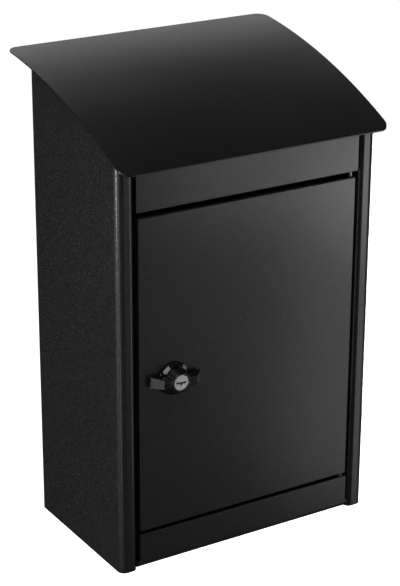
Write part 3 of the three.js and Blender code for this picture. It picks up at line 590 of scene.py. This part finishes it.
def stile_tab(half, z0, z1):
    """The end flange and lapping tab that tie the header and the base strip behind a stile."""
    flange = block(half - SHEET, FRONT + SHEET / 2, z0, half, RETURN_Y + GAP + SHEET, z1)
    tab = block(half - SHEET / 2, RETURN_Y + GAP, z0, LIP_END - 1, RETURN_Y + GAP + SHEET, z1)
    return join(flange, tab)


def header_panel():
    slope_depth = 15
    bumper_face = LID_SHEET + 3.6
    bottom = header_low.z
    top = under_lid(FRONT, bumper_face)
    line = bend([
        (RETURN_Y, bottom),
        (FRONT, bottom, EDGE_RADIUS),
        (FRONT, top, EDGE_RADIUS),
        (FRONT + slope_depth, under_lid(FRONT + slope_depth, bumper_face)),
    ])
    face = prism(sheet_outline(line, SHEET), "x", -HEADER_HALF, HEADER_HALF)
    cut(face, rod("z", BUSH_RADIUS + GAP, bottom - 4, bottom + 4, PIN))
    tab = stile_tab(HEADER_HALF, bottom + 3, top - 4)
    return join(face, tab, twin(tab))


def base_tray():
    """The base strip and the floor in one folded sheet."""
    top = tray_high.z
    floor = tray_low.z
    rear = tray_high.y
    line = bend([
        (RETURN_Y, top),
        (FRONT, top, EDGE_RADIUS),
        (FRONT, floor, STRIP_BEND),
        (rear, floor, 2.2),
        (rear, 24),
    ])
    tray = prism(sheet_outline(line, -SHEET), "x", tray_low.x, tray_high.x)
    tools = []
    behind = RETURN_Y + 2 * GAP
    for side in (-1, 1):
        past = side * (HALF + 10)
        for edge, z0 in ((side * STRIP_HALF, SLOT_FLOOR), (side * (STILE_INNER - 0.4), -5)):
            tools.append(block(min(edge, past), FRONT - 10, z0, max(edge, past), behind, 60))
        for rivet in BASE_RIVETS.values():
            tools.append(rod("z", HOLE, 0, 5, (side * rivet.x, rivet.y), 24))
            tools.append(rod("z", DRAIN_RADIUS, 0, 5, (side * DRAIN_X, rivet.y), 32))
    tools.append(rod("z", BUSH_RADIUS + GAP, top - 4, top + 4, PIN))
    cut(tray, *tools)
    tab = stile_tab(STRIP_HALF, SLOT_FLOOR + 2, top - 3)
    return join(tray, tab, twin(tab))


def back_panel():
    sheet = block(*back_low, *back_high)
    tools = []
    for side in (-1, 1):
        spots = list(BACK_RIVETS.values()) + [ROD_RIVET]
        tools += [rod("y", HOLE, -4, 0, (side * r.x, r.z), 24) for r in spots]
        tools += [rod("y", MOUNT_HOLE, -4, 0, (side * b.x, b.z), 32) for b in MOUNT_BOLTS.values()]
        ear_low, ear_high = local("lid_ear_right")
        near, far = sorted((side * (ear_low.x - 4), side * (ear_high.x + 1)))
        tools.append(block(near, -10, ROD[1] - 13, far, 5, 600))
    return cut(sheet, *tools)


def letter_guard():
    half = local("letter_guard")[1].x
    top = (-167, 469)
    edge = (-74, 400)
    drop = 12
    line = bend([top, (*edge, 3), (edge[0] + 2, edge[1] - 10)])
    plate = prism(sheet_outline(line, SHEET), "x", -half, half)
    side = [(top[0] + 8, top[1] - 6.5), (top[0] + 8, top[1] - 6.5 - drop),
            (edge[0] - 8, edge[1] + 5 - drop), (edge[0] - 8, edge[1] + 5)]
    flange = prism(side, "x", half - SHEET, half)
    return join(plate, flange, twin(flange))


def wall_bracket():
    """A hat section that holds the box off the wall, clear of the lid's rear edge."""
    low, high = local("wall_bracket")
    lip = low.y + BRACKET_SHEET
    line = bend([
        (high.x, lip),
        (BRACKET_HALF, lip, 1),
        (BRACKET_HALF, high.y, 3),
        (-BRACKET_HALF, high.y, 3),
        (-BRACKET_HALF, lip, 1),
        (low.x, lip),
    ], 8)
    channel = prism(sheet_outline(line, -BRACKET_SHEET), "z", low.z, high.z)
    tools = []
    for side in (-1, 1):
        for z in (low.z + WALL_HOLE_INSET, high.z - WALL_HOLE_INSET):
            tools.append(rod("y", WALL_HOLE_RADIUS, high.y - 5, high.y + 5, (side * WALL_HOLE_X, z), 40))
        tools += [rod("y", MOUNT_HOLE, -4, 4, (side * b.x, b.z), 32) for b in MOUNT_BOLTS.values()]
    return cut(channel, *tools)


def strike_plate():
    low, high = local("strike_plate")
    plate = prism(loop([(low.x, low.z, 1), (high.x, low.z, 3), (high.x, high.z, 3), (low.x, high.z, 1)]),
                  "y", low.y, high.y)
    return cut(plate, *[rod("y", HOLE, low.y - 2, high.y + 2, (r.x, r.z), 24)
                        for r in STRIKE_RIVETS.values()])


place(side_panel(1), "right_side_panel")
place(side_panel(-1), "left_side_panel")
place(header_panel(), "header_panel")
place(base_tray(), "base_tray")
place(back_panel(), "back_panel")
place(letter_guard(), "letter_guard")
place(wall_bracket(), "wall_bracket")
place(strike_plate(), "strike_plate")


# ---- fasteners ----------------------------------------------------------------------------------

def blind_rivet(node, axis):
    """A domed head, a shank and a formed tail with the broken mandrel in its end."""
    low, high = local(node)
    centre = middle(node)
    along = {"y": (low.y, high.y, (centre.x, centre.z)), "z": (low.z, high.z, (centre.x, centre.y))}[axis]
    start, end, spot = along
    if axis == "y":
        start, end = end, start
    way = 1 if end > start else -1
    head = RIVET_RADIUS * 1.9
    tail = RIVET_RADIUS * 1.5
    thick = 1.2
    profile = bend([
        (0, start),
        (head * 0.55, start, 3),
        (head, start + way * thick * 0.8, 0.3),
        (head, start + way * thick),
        (RIVET_RADIUS, start + way * thick),
        (RIVET_RADIUS, end - way * thick),
        (tail, end - way * thick, 0.3),
        (tail * 0.95, end - way * 0.2, 0.5),
        (0.9, end - way * 0.2, 0.1),
        (0.8, end, 0.1),
        (0, end),
    ], 5)
    return lathe(profile, axis, spot, 32)


def hexagon(radius, centre, a, b, axis="y"):
    """A hexagonal prism whose corners are chamfered at both ends."""
    body = prism(circle(radius, centre, 6), axis, a, b)
    flat = radius * math.cos(math.pi / 6)
    chamfer = (radius - flat) * 0.55
    cone = lathe([(0, a), (flat, a), (radius, a + chamfer), (radius, b - chamfer), (flat, b), (0, b)],
                 axis, centre, 48)
    return common(body, cone)


def thread(radius, a, b, pitch):
    """A threaded length as a turned profile, from a to b."""
    turns = max(1, int(abs(b - a) / pitch))
    step = (b - a) / turns
    points = []
    for i in range(turns):
        points.append((radius * 0.93, a + step * i))
        points.append((radius, a + step * (i + 0.5)))
    points.append((radius * 0.93, b))
    return points


def mount_bolt(node):
    low, high = local(node)
    centre = middle(node)
    spot = (centre.x, centre.z)
    head_end = low.y + 3.5
    head_corner = 5
    head = hexagon(head_corner, spot, low.y, head_end)
    r = MOUNT_RADIUS
    profile = [(0, head_end - 1), (r, head_end - 1), (r, head_end + 3)]
    profile += thread(r, head_end + 3, high.y - 0.6, 1.0)
    profile += [(2.2, high.y), (0, high.y)]
    shank = lathe(profile, "y", spot, 32)
    return join(head, shank)


def mount_nut(node):
    low, high = local(node)
    centre = middle(node)
    spot = (centre.x, centre.z)
    corner = 5.6
    return cut(hexagon(corner, spot, low.y, high.y), rod("y", MOUNT_HOLE, low.y - 1, high.y + 1, spot, 40))


for side_name in ("left", "right"):
    for level in ("low", "middle", "high"):
        node = f"back_rivet_{side_name}_{level}"
        place(blind_rivet(node, "y"), node, bevel=0)
    for end_name in ("front", "rear"):
        node = f"base_rivet_{side_name}_{end_name}"
        place(blind_rivet(node, "z"), node, bevel=0)
    for level in ("low", "high"):
        place(mount_bolt(f"mount_bolt_{side_name}_{level}"), f"mount_bolt_{side_name}_{level}", bevel=0)
        place(mount_nut(f"mount_nut_{side_name}_{level}"), f"mount_nut_{side_name}_{level}", 0.15)
    place(blind_rivet(f"rod_bracket_rivet_{side_name}", "y"), f"rod_bracket_rivet_{side_name}", bevel=0)
for level in ("low", "high"):
    place(blind_rivet(f"strike_rivet_{level}", "y"), f"strike_rivet_{level}", bevel=0)


# ---- lid and its hinge --------------------------------------------------------------------------

def lid_panel():
    """A thin curved sheet with rounded corners, as bands across its width."""
    stations = []
    corner_steps = 10
    for k in range(corner_steps + 1):
        turn = math.pi / 2 * k / corner_steps
        stations.append((lid_low.y + LID_CORNER * (1 - math.cos(turn)), LID_CORNER * (1 - math.sin(turn))))
    inner = lid_high.y - lid_low.y - 2 * LID_CORNER
    steps = 56
    for k in range(1, steps):
        stations.append((lid_low.y + LID_CORNER + inner * k / steps, 0))
    for k in range(corner_steps + 1):
        turn = math.pi / 2 * (1 - k / corner_steps)
        stations.append((lid_high.y - LID_CORNER * (1 - math.cos(turn)), LID_CORNER * (1 - math.sin(turn))))
    bm = bmesh.new()
    across = 12
    rows = []
    for y, inset in stations:
        half = LID_HALF - inset
        xs = [-half + 2 * half * i / across for i in range(across + 1)]
        rows.append([[bm.verts.new((x, y, under_lid(y, below))) for x in xs] for below in (0, LID_SHEET)])
    for (top_a, low_a), (top_b, low_b) in zip(rows, rows[1:]):
        for i in range(across):
            bm.faces.new((top_a[i], top_a[i + 1], top_b[i + 1], top_b[i]))
            bm.faces.new((low_a[i + 1], low_a[i], low_b[i], low_b[i + 1]))
        bm.faces.new((top_a[0], top_b[0], low_b[0], low_a[0]))
        bm.faces.new((top_a[-1], low_a[-1], low_b[-1], top_b[-1]))
    for top, low in (rows[0], rows[-1]):
        for i in range(across):
            bm.faces.new((top[i], low[i], low[i + 1], top[i + 1]))
    return solid(bm)


def lid_ear():
    low, high = local("lid_ear_right")
    below = LID_SHEET + GAP
    flange = prism(lid_line(low.y, high.y, below, 12) + lid_line(low.y, high.y, below + LID_SHEET, 12)[::-1],
                   "x", low.x, high.x)
    radius = 4.6
    neck = [(ROD[0] + radius, under_lid(ROD[0] + radius, below + LID_SHEET / 2))]
    steps = 20
    for i in range(steps + 1):
        turn = -math.pi * i / steps
        neck.append((ROD[0] + radius * math.cos(turn), ROD[1] + radius * math.sin(turn)))
    neck_front = -28
    neck += [(ROD[0] - radius, ROD[1] + 6), (neck_front, under_lid(neck_front, below + LID_SHEET / 2))]
    plate = prism(neck, "x", high.x - LID_SHEET, high.x)
    ear = join(flange, plate)
    return cut(ear, rod("x", ROD_RADIUS + GAP, high.x - 5, high.x + 5, ROD))


def rod_bracket():
    low, high = local("rod_bracket_right")
    wall = high.y
    outline = [
        (wall, low.z),
        (wall, high.z),
        (low.y, high.z, 4),
        (low.y, ROD[1] - 10, 4),
        (wall - 4, low.z),
    ]
    ear = prism(loop(outline), "x", low.x, low.x + SHEET)
    foot = prism(loop([(low.x, low.z), (high.x, low.z, 3), (high.x, ROD[1] - 6, 3), (low.x, ROD[1] - 6)]),
                 "y", wall - SHEET, wall)
    bracket = join(ear, foot)
    return cut(bracket, rod("x", ROD_RADIUS + GAP, low.x - 5, low.x + 5, ROD),
               rod("y", HOLE, -10, 0, (ROD_RIVET.x, ROD_RIVET.z), 24))


def rod_clip():
    low, high = local("rod_clip_right")
    groove = 2.1
    mouth = groove * 0.7
    ring = rod("x", (high.y - low.y) / 2, low.x, high.x, ROD)
    return cut(ring, rod("x", groove, low.x - 1, high.x + 1, ROD),
               block(low.x - 1, ROD[0] - mouth, low.z - 4, high.x + 1, ROD[0] + mouth, ROD[1]))


def hinge_rod():
    end = local("hinge_rod")[1].x
    clip_low, clip_high = local("rod_clip_right")
    r = ROD_RADIUS
    deep = r - 0.7
    half = [(r, 0), (r, clip_low.x - GAP), (deep, clip_low.x - GAP), (deep, clip_high.x + GAP),
            (r, clip_high.x + GAP), (r, end - 0.8), (r - 0.8, end), (0, end)]
    other = [(radius, -x) for radius, x in half[::-1]]
    return lathe(other + half[1:], "x", ROD, 40)


place(lid_panel(), "lid_panel", 0.45, 50, 3)
for side_name, mirrored_side in (("right", False), ("left", True)):
    for node, draw in (("lid_ear", lid_ear), ("rod_bracket", rod_bracket), ("rod_clip", rod_clip)):
        piece = draw()
        if mirrored_side:
            mirror(piece)
        place(piece, f"{node}_{side_name}", 0.15)
place(hinge_rod(), "hinge_rod", bevel=0)


def lid_bumper(node):
    """A rubber button on the header's sloping top."""
    low, high = local(node)
    centre = (low + high) / 2
    slope = math.asin((LID_Y - centre.y) / LID_RADIUS)
    tall = 3.0
    profile = bend([(0, -tall / 2), (4.8, -tall / 2, 0.4), (4.6, -0.2), (4.3, tall / 2, 1.0),
                    (1.6, tall / 2, 0.2), (1.4, 0.3, 0.2), (0, 0.3)], 5)
    button = lathe(profile, "z", (0, 0), 40)
    button.data.transform(Matrix.Translation(centre) @ Matrix.Rotation(slope, 4, "X"))
    return button


for side_name in ("left", "right"):
    place(lid_bumper(f"lid_bumper_{side_name}"), f"lid_bumper_{side_name}", bevel=0)


# ---- door ---------------------------------------------------------------------------------------

def rounded_box(low, high, radius, steps):
    """A box whose front face and vertical corners are rounded; its rear face is flat."""
    rings = []
    for k in range(steps + 1):
        turn = math.pi / 2 * k / steps
        rings.append((low.y + radius * (1 - math.sin(turn)), radius * (1 - math.cos(turn))))
    rings.reverse()
    rings.insert(0, (low.y, radius))
    rings.append((high.y, 0))
    bm = bmesh.new()
    made = []
    for y, inset in dict.fromkeys(rings):
        corners = [(low.x + inset, low.z + inset), (high.x - inset, low.z + inset),
                   (high.x - inset, high.z - inset), (low.x + inset, high.z - inset)]
        rounding = max(radius - inset, 0.05)
        outline = loop([(*corner, rounding) for corner in corners], steps)
        made.append([bm.verts.new((x, y, z)) for x, z in outline])
    for one, other in zip(made, made[1:]):
        count = len(one)
        for i in range(count):
            j = (i + 1) % count
            bm.faces.new((one[i], one[j], other[j], other[i]))
    bm.faces.new(made[0])
    bm.faces.new(made[-1][::-1])
    return solid(bm)


def door_panel():
    pan = rounded_box(door_low, door_high, EDGE_RADIUS, 6)
    hollow = rounded_box(door_low + Vector((SHEET, SHEET, SHEET)),
                         Vector((door_high.x - SHEET, door_high.y + 10, door_high.z - SHEET)), 0.5, 3)
    return cut(
        pan,
        hollow,
        rod("y", BARREL_RADIUS + GAP, FRONT - 5, FRONT + 5, LOCK, 64),
        rod("z", PIN_RADIUS + GAP, door_low.z - 5, door_low.z + 5, PIN),
        rod("z", PIN_RADIUS + GAP, door_high.z - 5, door_high.z + 5, PIN),
    )


def hinge_pin(node, out):
    low, high = local(node)
    start, end = (low.z, high.z) if out > 0 else (high.z, low.z)
    head = 3
    shoulder = start + out * 2.2
    profile = bend([
        (0, start),
        (head, start, 0.6),
        (head, shoulder, 0.15),
        (PIN_RADIUS, shoulder),
        (PIN_RADIUS, end, 0.5),
        (0, end),
    ], 5)
    return lathe(profile, "z", PIN, 40)


def hinge_bush(node, out):
    """A flanged nylon bush, cut flat behind the front face of the header or the base strip."""
    low, high = local(node)
    face, end = (low.z, high.z) if out > 0 else (high.z, low.z)
    collar = end - out * 1.3
    bore = PIN_RADIUS + GAP
    flange = 4.4
    profile = [(bore, face), (BUSH_RADIUS, face), (BUSH_RADIUS, collar), (flange, collar),
               (flange, end), (bore, end)]
    bush = lathe(profile, "z", PIN, 48)
    return cut(bush, block(PIN[0] - 10, FRONT - 10, 0, PIN[0] + 10, FRONT + SHEET + GAP, 500))


def door_bumper(node):
    low, high = local(node)
    centre = middle(node)
    profile = bend([(0, high.y), (4.6, high.y, 0.3), (4.4, (low.y + high.y) / 2), (4.0, low.y, 1.4),
                    (0, low.y)], 6)
    return lathe(profile, "y", (centre.x, centre.z), 40)


# ---- lock ---------------------------------------------------------------------------------------

BARREL_RADIUS = 9.5
BARREL_BORE = 6.3
rosette_low, rosette_high = local("lock_rosette")
ROSETTE_RADIUS = (rosette_high.x - rosette_low.x) / 2
ROSETTE_FRONT = 14.2
handle_low, handle_high = local("wing_handle")
HANDLE_FACE = handle_low.y + 0.6
HANDLE_BACK = FRONT - 7.4
HUB_BACK = 14.8
HUB_FRONT = 11.4
HANDLE_TILT = math.radians(4)
WING_TIP = 31.5
WING_SHOULDER = 20.3
WING_HALF_BACK = 6.7
WING_HALF_FRONT = 5.4
WING_BACK = FRONT - 3
WING_TIP_WIDTH = 1.2
SPINDLE_RADIUS = 6
SCREW_HOLE = 2.2
KEYWAY_FACE_HALF = 6
KEYWAY_CORE_HALF = 3.4
KEYWAY_HALF_HEIGHT = 1.05
KEYWAY_DEPTH = 9
NOTCH_HALF = 1.1
NOTCH_REACH = 3
NOTCH_DEPTH = 4
cam_low, cam_high = local("cam")
CAM_BACK = cam_high.y
PLUG_FACE = 9.1
PLUG_CORE = 4.5
PLUG_SEAT = HANDLE_FACE + 3.6
SQUARE = 4
MARK_INNER = 14.5
MARK_OUTER = 18.3
MARKS = {"right": (math.radians(43), math.radians(11)), "left": (math.radians(131), math.radians(15))}
MARK_DEPTH = 2.7


def tilted(obj):
    """Turn a drawn shape about the lock's axis to the handle's resting angle."""
    centre = Vector((LOCK[0], 0, LOCK[1]))
    turn = Matrix.Rotation(HANDLE_TILT, 4, "Y")
    obj.data.transform(Matrix.Translation(centre) @ turn @ Matrix.Translation(-centre))
    return obj


def mark_outline(mark, grow):
    turn, half = mark
    extra = grow / MARK_INNER
    outline = []
    steps = 10
    for radius, start, end in ((MARK_OUTER + grow, -1, 1), (MARK_INNER - grow, 1, -1)):
        for i in range(steps + 1):
            at = turn + (half + extra) * (start + (end - start) * i / steps)
            outline.append((LOCK[0] + radius * math.cos(at), LOCK[1] + radius * math.sin(at)))
    return outline


def rosette_profile():
    back, front = rosette_high.y, rosette_low.y
    return [(ROSETTE_RADIUS, back, 0.15), (ROSETTE_RADIUS, back - 0.9, 0.3), (ROSETTE_FRONT, front, 0.9)]


def lock_rosette():
    back, front = rosette_high.y, rosette_low.y
    bore = BARREL_RADIUS + GAP
    outline = loop([(bore, front, 0.2), (bore, back, 0.1), *rosette_profile()], 5)
    ring = lathe(outline, "y", LOCK, 96)
    tools = [prism(mark_outline(mark, GAP * 0.5), "y", front - 1, front + MARK_DEPTH + GAP)
             for mark in MARKS.values()]
    return cut(ring, *tools)


def lock_mark(mark):
    back, front = rosette_high.y, rosette_low.y
    band = prism(mark_outline(mark, 0), "y", front - 1, front + MARK_DEPTH)
    cone = lathe(bend([(0, back), *rosette_profile(), (0, front)], 5), "y", LOCK, 96)
    return common(band, cone)


def lock_body():
    low, high = local("lock_body")
    flange = low.y + 1.8
    flange_radius = 12.2
    profile = [(BARREL_BORE, high.y), (BARREL_RADIUS - 0.4, high.y)]
    profile += thread(BARREL_RADIUS, high.y - 0.6, flange + 6, 1.2)
    profile += [(BARREL_RADIUS, flange + 6), (BARREL_RADIUS, flange), (flange_radius, flange),
                (flange_radius, low.y), (BARREL_BORE, low.y)]
    return lathe(profile, "y", LOCK, 64)


def lock_nut():
    low, high = local("lock_nut")
    corner = 14.5
    bore = rod("y", BARREL_RADIUS + GAP, low.y - 1, high.y + 1, LOCK, 64)
    return cut(hexagon(corner, LOCK, low.y, high.y), bore)


def lock_gasket():
    low, high = local("lock_gasket")
    bore = BARREL_RADIUS + GAP
    rim = 18
    profile = loop([(bore, low.y), (bore, high.y), (rim, high.y, 0.3), (rim, low.y, 0.3)], 4)
    return lathe(profile, "y", LOCK, 64)


def wing_handle():
    """Two wings that taper outwards and forwards, a conical hub, and the spindle with the cam."""
    tip_front = WING_BACK - WING_TIP_WIDTH
    step = ROSETTE_RADIUS + 1
    x, z = LOCK
    plan = [
        (x - WING_TIP, WING_BACK),
        (x - step, WING_BACK),
        (x - step, HANDLE_BACK),
        (x + step, HANDLE_BACK),
        (x + step, WING_BACK),
        (x + WING_TIP, WING_BACK),
        (x + WING_TIP, tip_front),
        (x + WING_SHOULDER, HANDLE_FACE),
        (x - WING_SHOULDER, HANDLE_FACE),
        (x - WING_TIP, tip_front),
    ]
    side = [
        (WING_BACK, z - WING_HALF_BACK),
        (WING_BACK, z + WING_HALF_BACK),
        (HANDLE_FACE, z + WING_HALF_FRONT),
        (HANDLE_FACE, z - WING_HALF_FRONT),
    ]
    wings = common(prism(plan, "z", z - 10, z + 10), prism(side, "x", x - 40, x + 40))
    round_edges(wings, 0.8, 20, 4)
    tilted(wings)
    hub = lathe(bend([(0, handle_low.y), (HUB_FRONT, handle_low.y, 1.0),
                      (HUB_BACK, HANDLE_BACK, 0.4), (0, HANDLE_BACK)], 6), "y", LOCK, 96)
    end = handle_high.y
    spindle = rod("y", SPINDLE_RADIUS, HANDLE_BACK - 2, end - 4, LOCK, 48)
    square = block(x - SQUARE, end - 6, z - SQUARE, x + SQUARE, end, z + SQUARE)
    body = join(wings, hub, spindle, square)
    core_end = local("plug_core")[1].y
    recess = lathe(bend([(0, HANDLE_FACE - 5), (PLUG_FACE + 1.6, HANDLE_FACE - 5),
                         (PLUG_FACE + 0.9, HANDLE_FACE - 0.4, 0.4), (PLUG_FACE + GAP, HANDLE_FACE + 0.6, 0.3),
                         (PLUG_FACE + GAP, PLUG_SEAT), (0, PLUG_SEAT)], 4), "y", LOCK, 96)
    return cut(
        body,
        recess,
        rod("y", PLUG_CORE + GAP, HANDLE_FACE, core_end + GAP, LOCK, 48),
        rod("y", SCREW_HOLE, core_end + 3, CAM_BACK + 1, LOCK, 32),
    )


def keyway(half):
    """The key's way: a level slot with a short notch below its middle."""
    x, z = LOCK
    front = local("lock_plug")[0].y
    low, high = z - KEYWAY_HALF_HEIGHT, z + KEYWAY_HALF_HEIGHT
    slot = prism(loop([(x - half, low, 0.4), (x + half, low, 0.4), (x + half, high, 0.4),
                       (x - half, high, 0.4)]), "y", front - 1, front + KEYWAY_DEPTH)
    tilted(slot)
    left, right, foot = x - NOTCH_HALF, x + NOTCH_HALF, z - NOTCH_REACH
    notch = prism(loop([(left, foot, 0.5), (right, foot, 0.5), (right, z - 0.5), (left, z - 0.5)]),
                  "y", front - 1, front + NOTCH_DEPTH)
    return slot, notch


def lock_plug():
    """The plug's bright face, with a fine groove turned round it."""
    low, high = local("lock_plug")
    profile = bend([
        (0, low.y),
        (5.4, low.y, 0.2),
        (5.7, low.y + 0.35, 0.1),
        (6.1, low.y + 0.35, 0.1),
        (6.4, low.y, 0.2),
        (PLUG_FACE, low.y, 0.6),
        (PLUG_FACE, high.y, 0.2),
        (0, high.y),
    ], 5)
    return cut(lathe(profile, "y", LOCK, 96), *keyway(KEYWAY_FACE_HALF))


def plug_core():
    low, high = local("plug_core")
    profile = bend([(0, low.y), (PLUG_CORE, low.y), (PLUG_CORE, high.y, 0.3), (0, high.y)], 5)
    return cut(lathe(profile, "y", LOCK, 48), *keyway(KEYWAY_CORE_HALF))


def cam():
    x, z = LOCK
    reach = z - cam_low.z
    half = 7
    outline = loop([
        (x + 10, z + 10, 6),
        (x + 10, z - 10, 4),
        (x + half, z - 16, 4),
        (x + half, z - reach, 3),
        (x - half, z - reach, 3),
        (x - half, z - 16, 4),
        (x - 10, z - 10, 4),
        (x - 10, z + 10, 6),
    ], 8)
    hole = SQUARE + GAP
    return cut(prism(outline, "y", cam_low.y, cam_high.y),
               block(x - hole, cam_low.y - 1, z - hole, x + hole, cam_high.y + 1, z + hole))


def cam_washer():
    low, high = local("cam_washer")
    rim = 7.5
    return cut(rod("y", rim, low.y, high.y, LOCK, 48), rod("y", SCREW_HOLE, low.y - 2, high.y + 2, LOCK, 32))


def cam_screw():
    """A cross-slotted screw."""
    low, high = local("cam_screw")
    x, z = LOCK
    seat = high.y - 2.6
    shank = 1.9
    head = 3.9
    profile = bend([(0, low.y), (1.3, low.y, 0.2)], 3)
    profile += thread(shank, low.y + 0.6, seat - 1, 0.8)
    profile += bend([(shank, seat), (head, seat, 0.2), (head, seat + 1.5, 1.0), (2.2, high.y, 1.4),
                     (0, high.y)], 6)
    screw = lathe(profile, "y", LOCK, 40)
    reach = 2.2
    thin = 0.45
    return cut(screw, block(x - reach, seat + 1.3, z - thin, x + reach, high.y + 2, z + thin),
               block(x - thin, seat + 1.3, z - reach, x + thin, high.y + 2, z + reach))


place(door_panel(), "door_panel", 0.15, 50)
for node, out in (("hinge_pin_top", 1), ("hinge_pin_bottom", -1)):
    place(hinge_pin(node, out), node, bevel=0)
for node, out in (("hinge_bush_top", 1), ("hinge_bush_bottom", -1)):
    place(hinge_bush(node, out), node, 0.12)
for level in ("low", "high"):
    place(door_bumper(f"door_bumper_{level}"), f"door_bumper_{level}", bevel=0)
place(lock_rosette(), "lock_rosette", 0.1, 50)
for side_name, mark in MARKS.items():
    place(lock_mark(mark), f"lock_mark_{side_name}", 0.12, 50)
place(lock_body(), "lock_body", bevel=0)
place(lock_nut(), "lock_nut", 0.2)
place(lock_gasket(), "lock_gasket", bevel=0)
place(wing_handle(), "wing_handle", 0.3, 50, 3)
place(lock_plug(), "lock_plug", 0.12, 50)
place(plug_core(), "plug_core", bevel=0)
place(cam(), "cam", 0.25)
place(cam_washer(), "cam_washer", 0.15)
place(cam_screw(), "cam_screw", bevel=0)


# ---- camera, floor and light --------------------------------------------------------------------

VIEW_AZIMUTH = math.radians(-31.83)
VIEW_ELEVATION = math.radians(21.53)
VIEW_ROLL = math.radians(0.265)
VIEW_DISTANCE = 2.1183
LENS = 114.8
AIM = CASING_ORIGIN + Vector((-11.7, -104.5, 277.7)) * MM
FLOOR_DROP = 0.55
FLOOR_HALF = 40
DARK_ROOM = 0.02           # the world's strength to every ray but the camera's
LARGE_BOX = (0.9, 0.9)
SMALL_BOX = (0.7, 0.7)
STRIP_LIGHT = (0.14, 0.7)
LIGHT_AIM = Vector((0, -0.15, 0))


def add_camera():
    back = Vector((math.sin(VIEW_AZIMUTH) * math.cos(VIEW_ELEVATION),
                   -math.cos(VIEW_AZIMUTH) * math.cos(VIEW_ELEVATION), math.sin(VIEW_ELEVATION)))
    level = Vector((math.cos(VIEW_AZIMUTH), math.sin(VIEW_AZIMUTH), 0))
    upright = back.cross(level)
    right = level * math.cos(VIEW_ROLL) + upright * math.sin(VIEW_ROLL)
    up = back.cross(right)
    data = bpy.data.cameras.new("camera")
    data.lens = LENS
    data.sensor_width = 36
    data.clip_start = 0.01
    data.clip_end = 200
    camera = bpy.data.objects.new("camera", data)
    camera.matrix_world = Matrix((
        (right.x, up.x, back.x, AIM.x + back.x * VIEW_DISTANCE),
        (right.y, up.y, back.y, AIM.y + back.y * VIEW_DISTANCE),
        (right.z, up.z, back.z, AIM.z + back.z * VIEW_DISTANCE),
        (0, 0, 0, 1),
    ))
    bpy.context.scene.collection.objects.link(camera)
    bpy.context.scene.camera = camera


def add_floor():
    """A plain pale floor that the camera sees but that doesn't lighten the black paint."""
    bm = bmesh.new()
    h = FLOOR_HALF
    z = CAD_BOX[0][2] - FLOOR_DROP
    bm.faces.new([bm.verts.new((x, y, z)) for x, y in ((-h, -h), (h, -h), (h, h), (-h, h))])
    floor = solid(bm, "floor")
    f = Finish("pale_floor")
    cloud = f.noise(3.0, 2.0, 0.5)
    shade = f.mix(cloud, grey(0.86), grey(0.90))
    f.finish(Base_Color=shade, Roughness=0.9, Emission_Color=shade, Emission_Strength=1.15)
    floor.data.materials.append(f.material)
    floor.visible_glossy = False
    floor.visible_diffuse = False


def add_light(name, turn, rise, distance, size, power):
    """A soft light seen from the casing at an angle from its front, turned right and risen."""
    data = bpy.data.lights.new(name, "AREA")
    data.shape = "RECTANGLE"
    data.size, data.size_y = size
    data.energy = power
    turn, rise = math.radians(turn), math.radians(rise)
    towards = Vector((math.sin(turn) * math.cos(rise), -math.cos(turn) * math.cos(rise), math.sin(rise)))
    light = bpy.data.objects.new(name, data)
    light.location = LIGHT_AIM + towards * distance
    light.rotation_euler = (-towards).to_track_quat("-Z", "Y").to_euler()
    light.visible_camera = False
    bpy.context.scene.collection.objects.link(light)


def add_world():
    """White to the camera and nearly dark to the box, so that only the softboxes shine in it."""
    world = bpy.data.worlds.new("studio")
    world.use_nodes = True
    tree = world.node_tree
    sky = tree.nodes["Background"]
    path = tree.nodes.new("ShaderNodeLightPath")
    shade = tree.nodes.new("ShaderNodeMapRange")
    shade.inputs["To Min"].default_value = DARK_ROOM
    shade.inputs["To Max"].default_value = 1.0
    tree.links.new(path.outputs["Is Camera Ray"], shade.inputs["Value"])
    tree.links.new(shade.outputs["Result"], sky.inputs["Strength"])
    sky.inputs["Color"].default_value = grey(1.0)
    bpy.context.scene.world = world


add_camera()
add_floor()
add_world()
add_light("front_right_low", 45, -22, 2.1, SMALL_BOX, 1.9)
add_light("front_right", 36, -6, 2.2, SMALL_BOX, 2.4)
add_light("top_right_spot", 42, -12, 2.3, (0.4, 0.4), 1.2)
add_light("rear_right", 150, 25, 2.1, LARGE_BOX, 2.6)
add_light("right", 120, 25, 2.1, LARGE_BOX, 3.6)
add_light("right_rear_strip", 126, -16, 1.6, (0.2, 0.7), 8.0)
add_light("rear_top", 180, 50, 2.1, LARGE_BOX, 10.5)
add_light("left_rear_strip", -116, -3, 1.4, STRIP_LIGHT, 0.3)
add_light("left_corner_strip", -84, 4, 1.4, (0.05, 0.8), 9.0)
add_light("left_front_strip", -58, -16, 1.4, STRIP_LIGHT, 0.7)
add_light("key_above", -35, 55, 2.0, (0.6, 0.6), 7.0)
bpy.context.scene.view_settings.view_transform = "Standard"
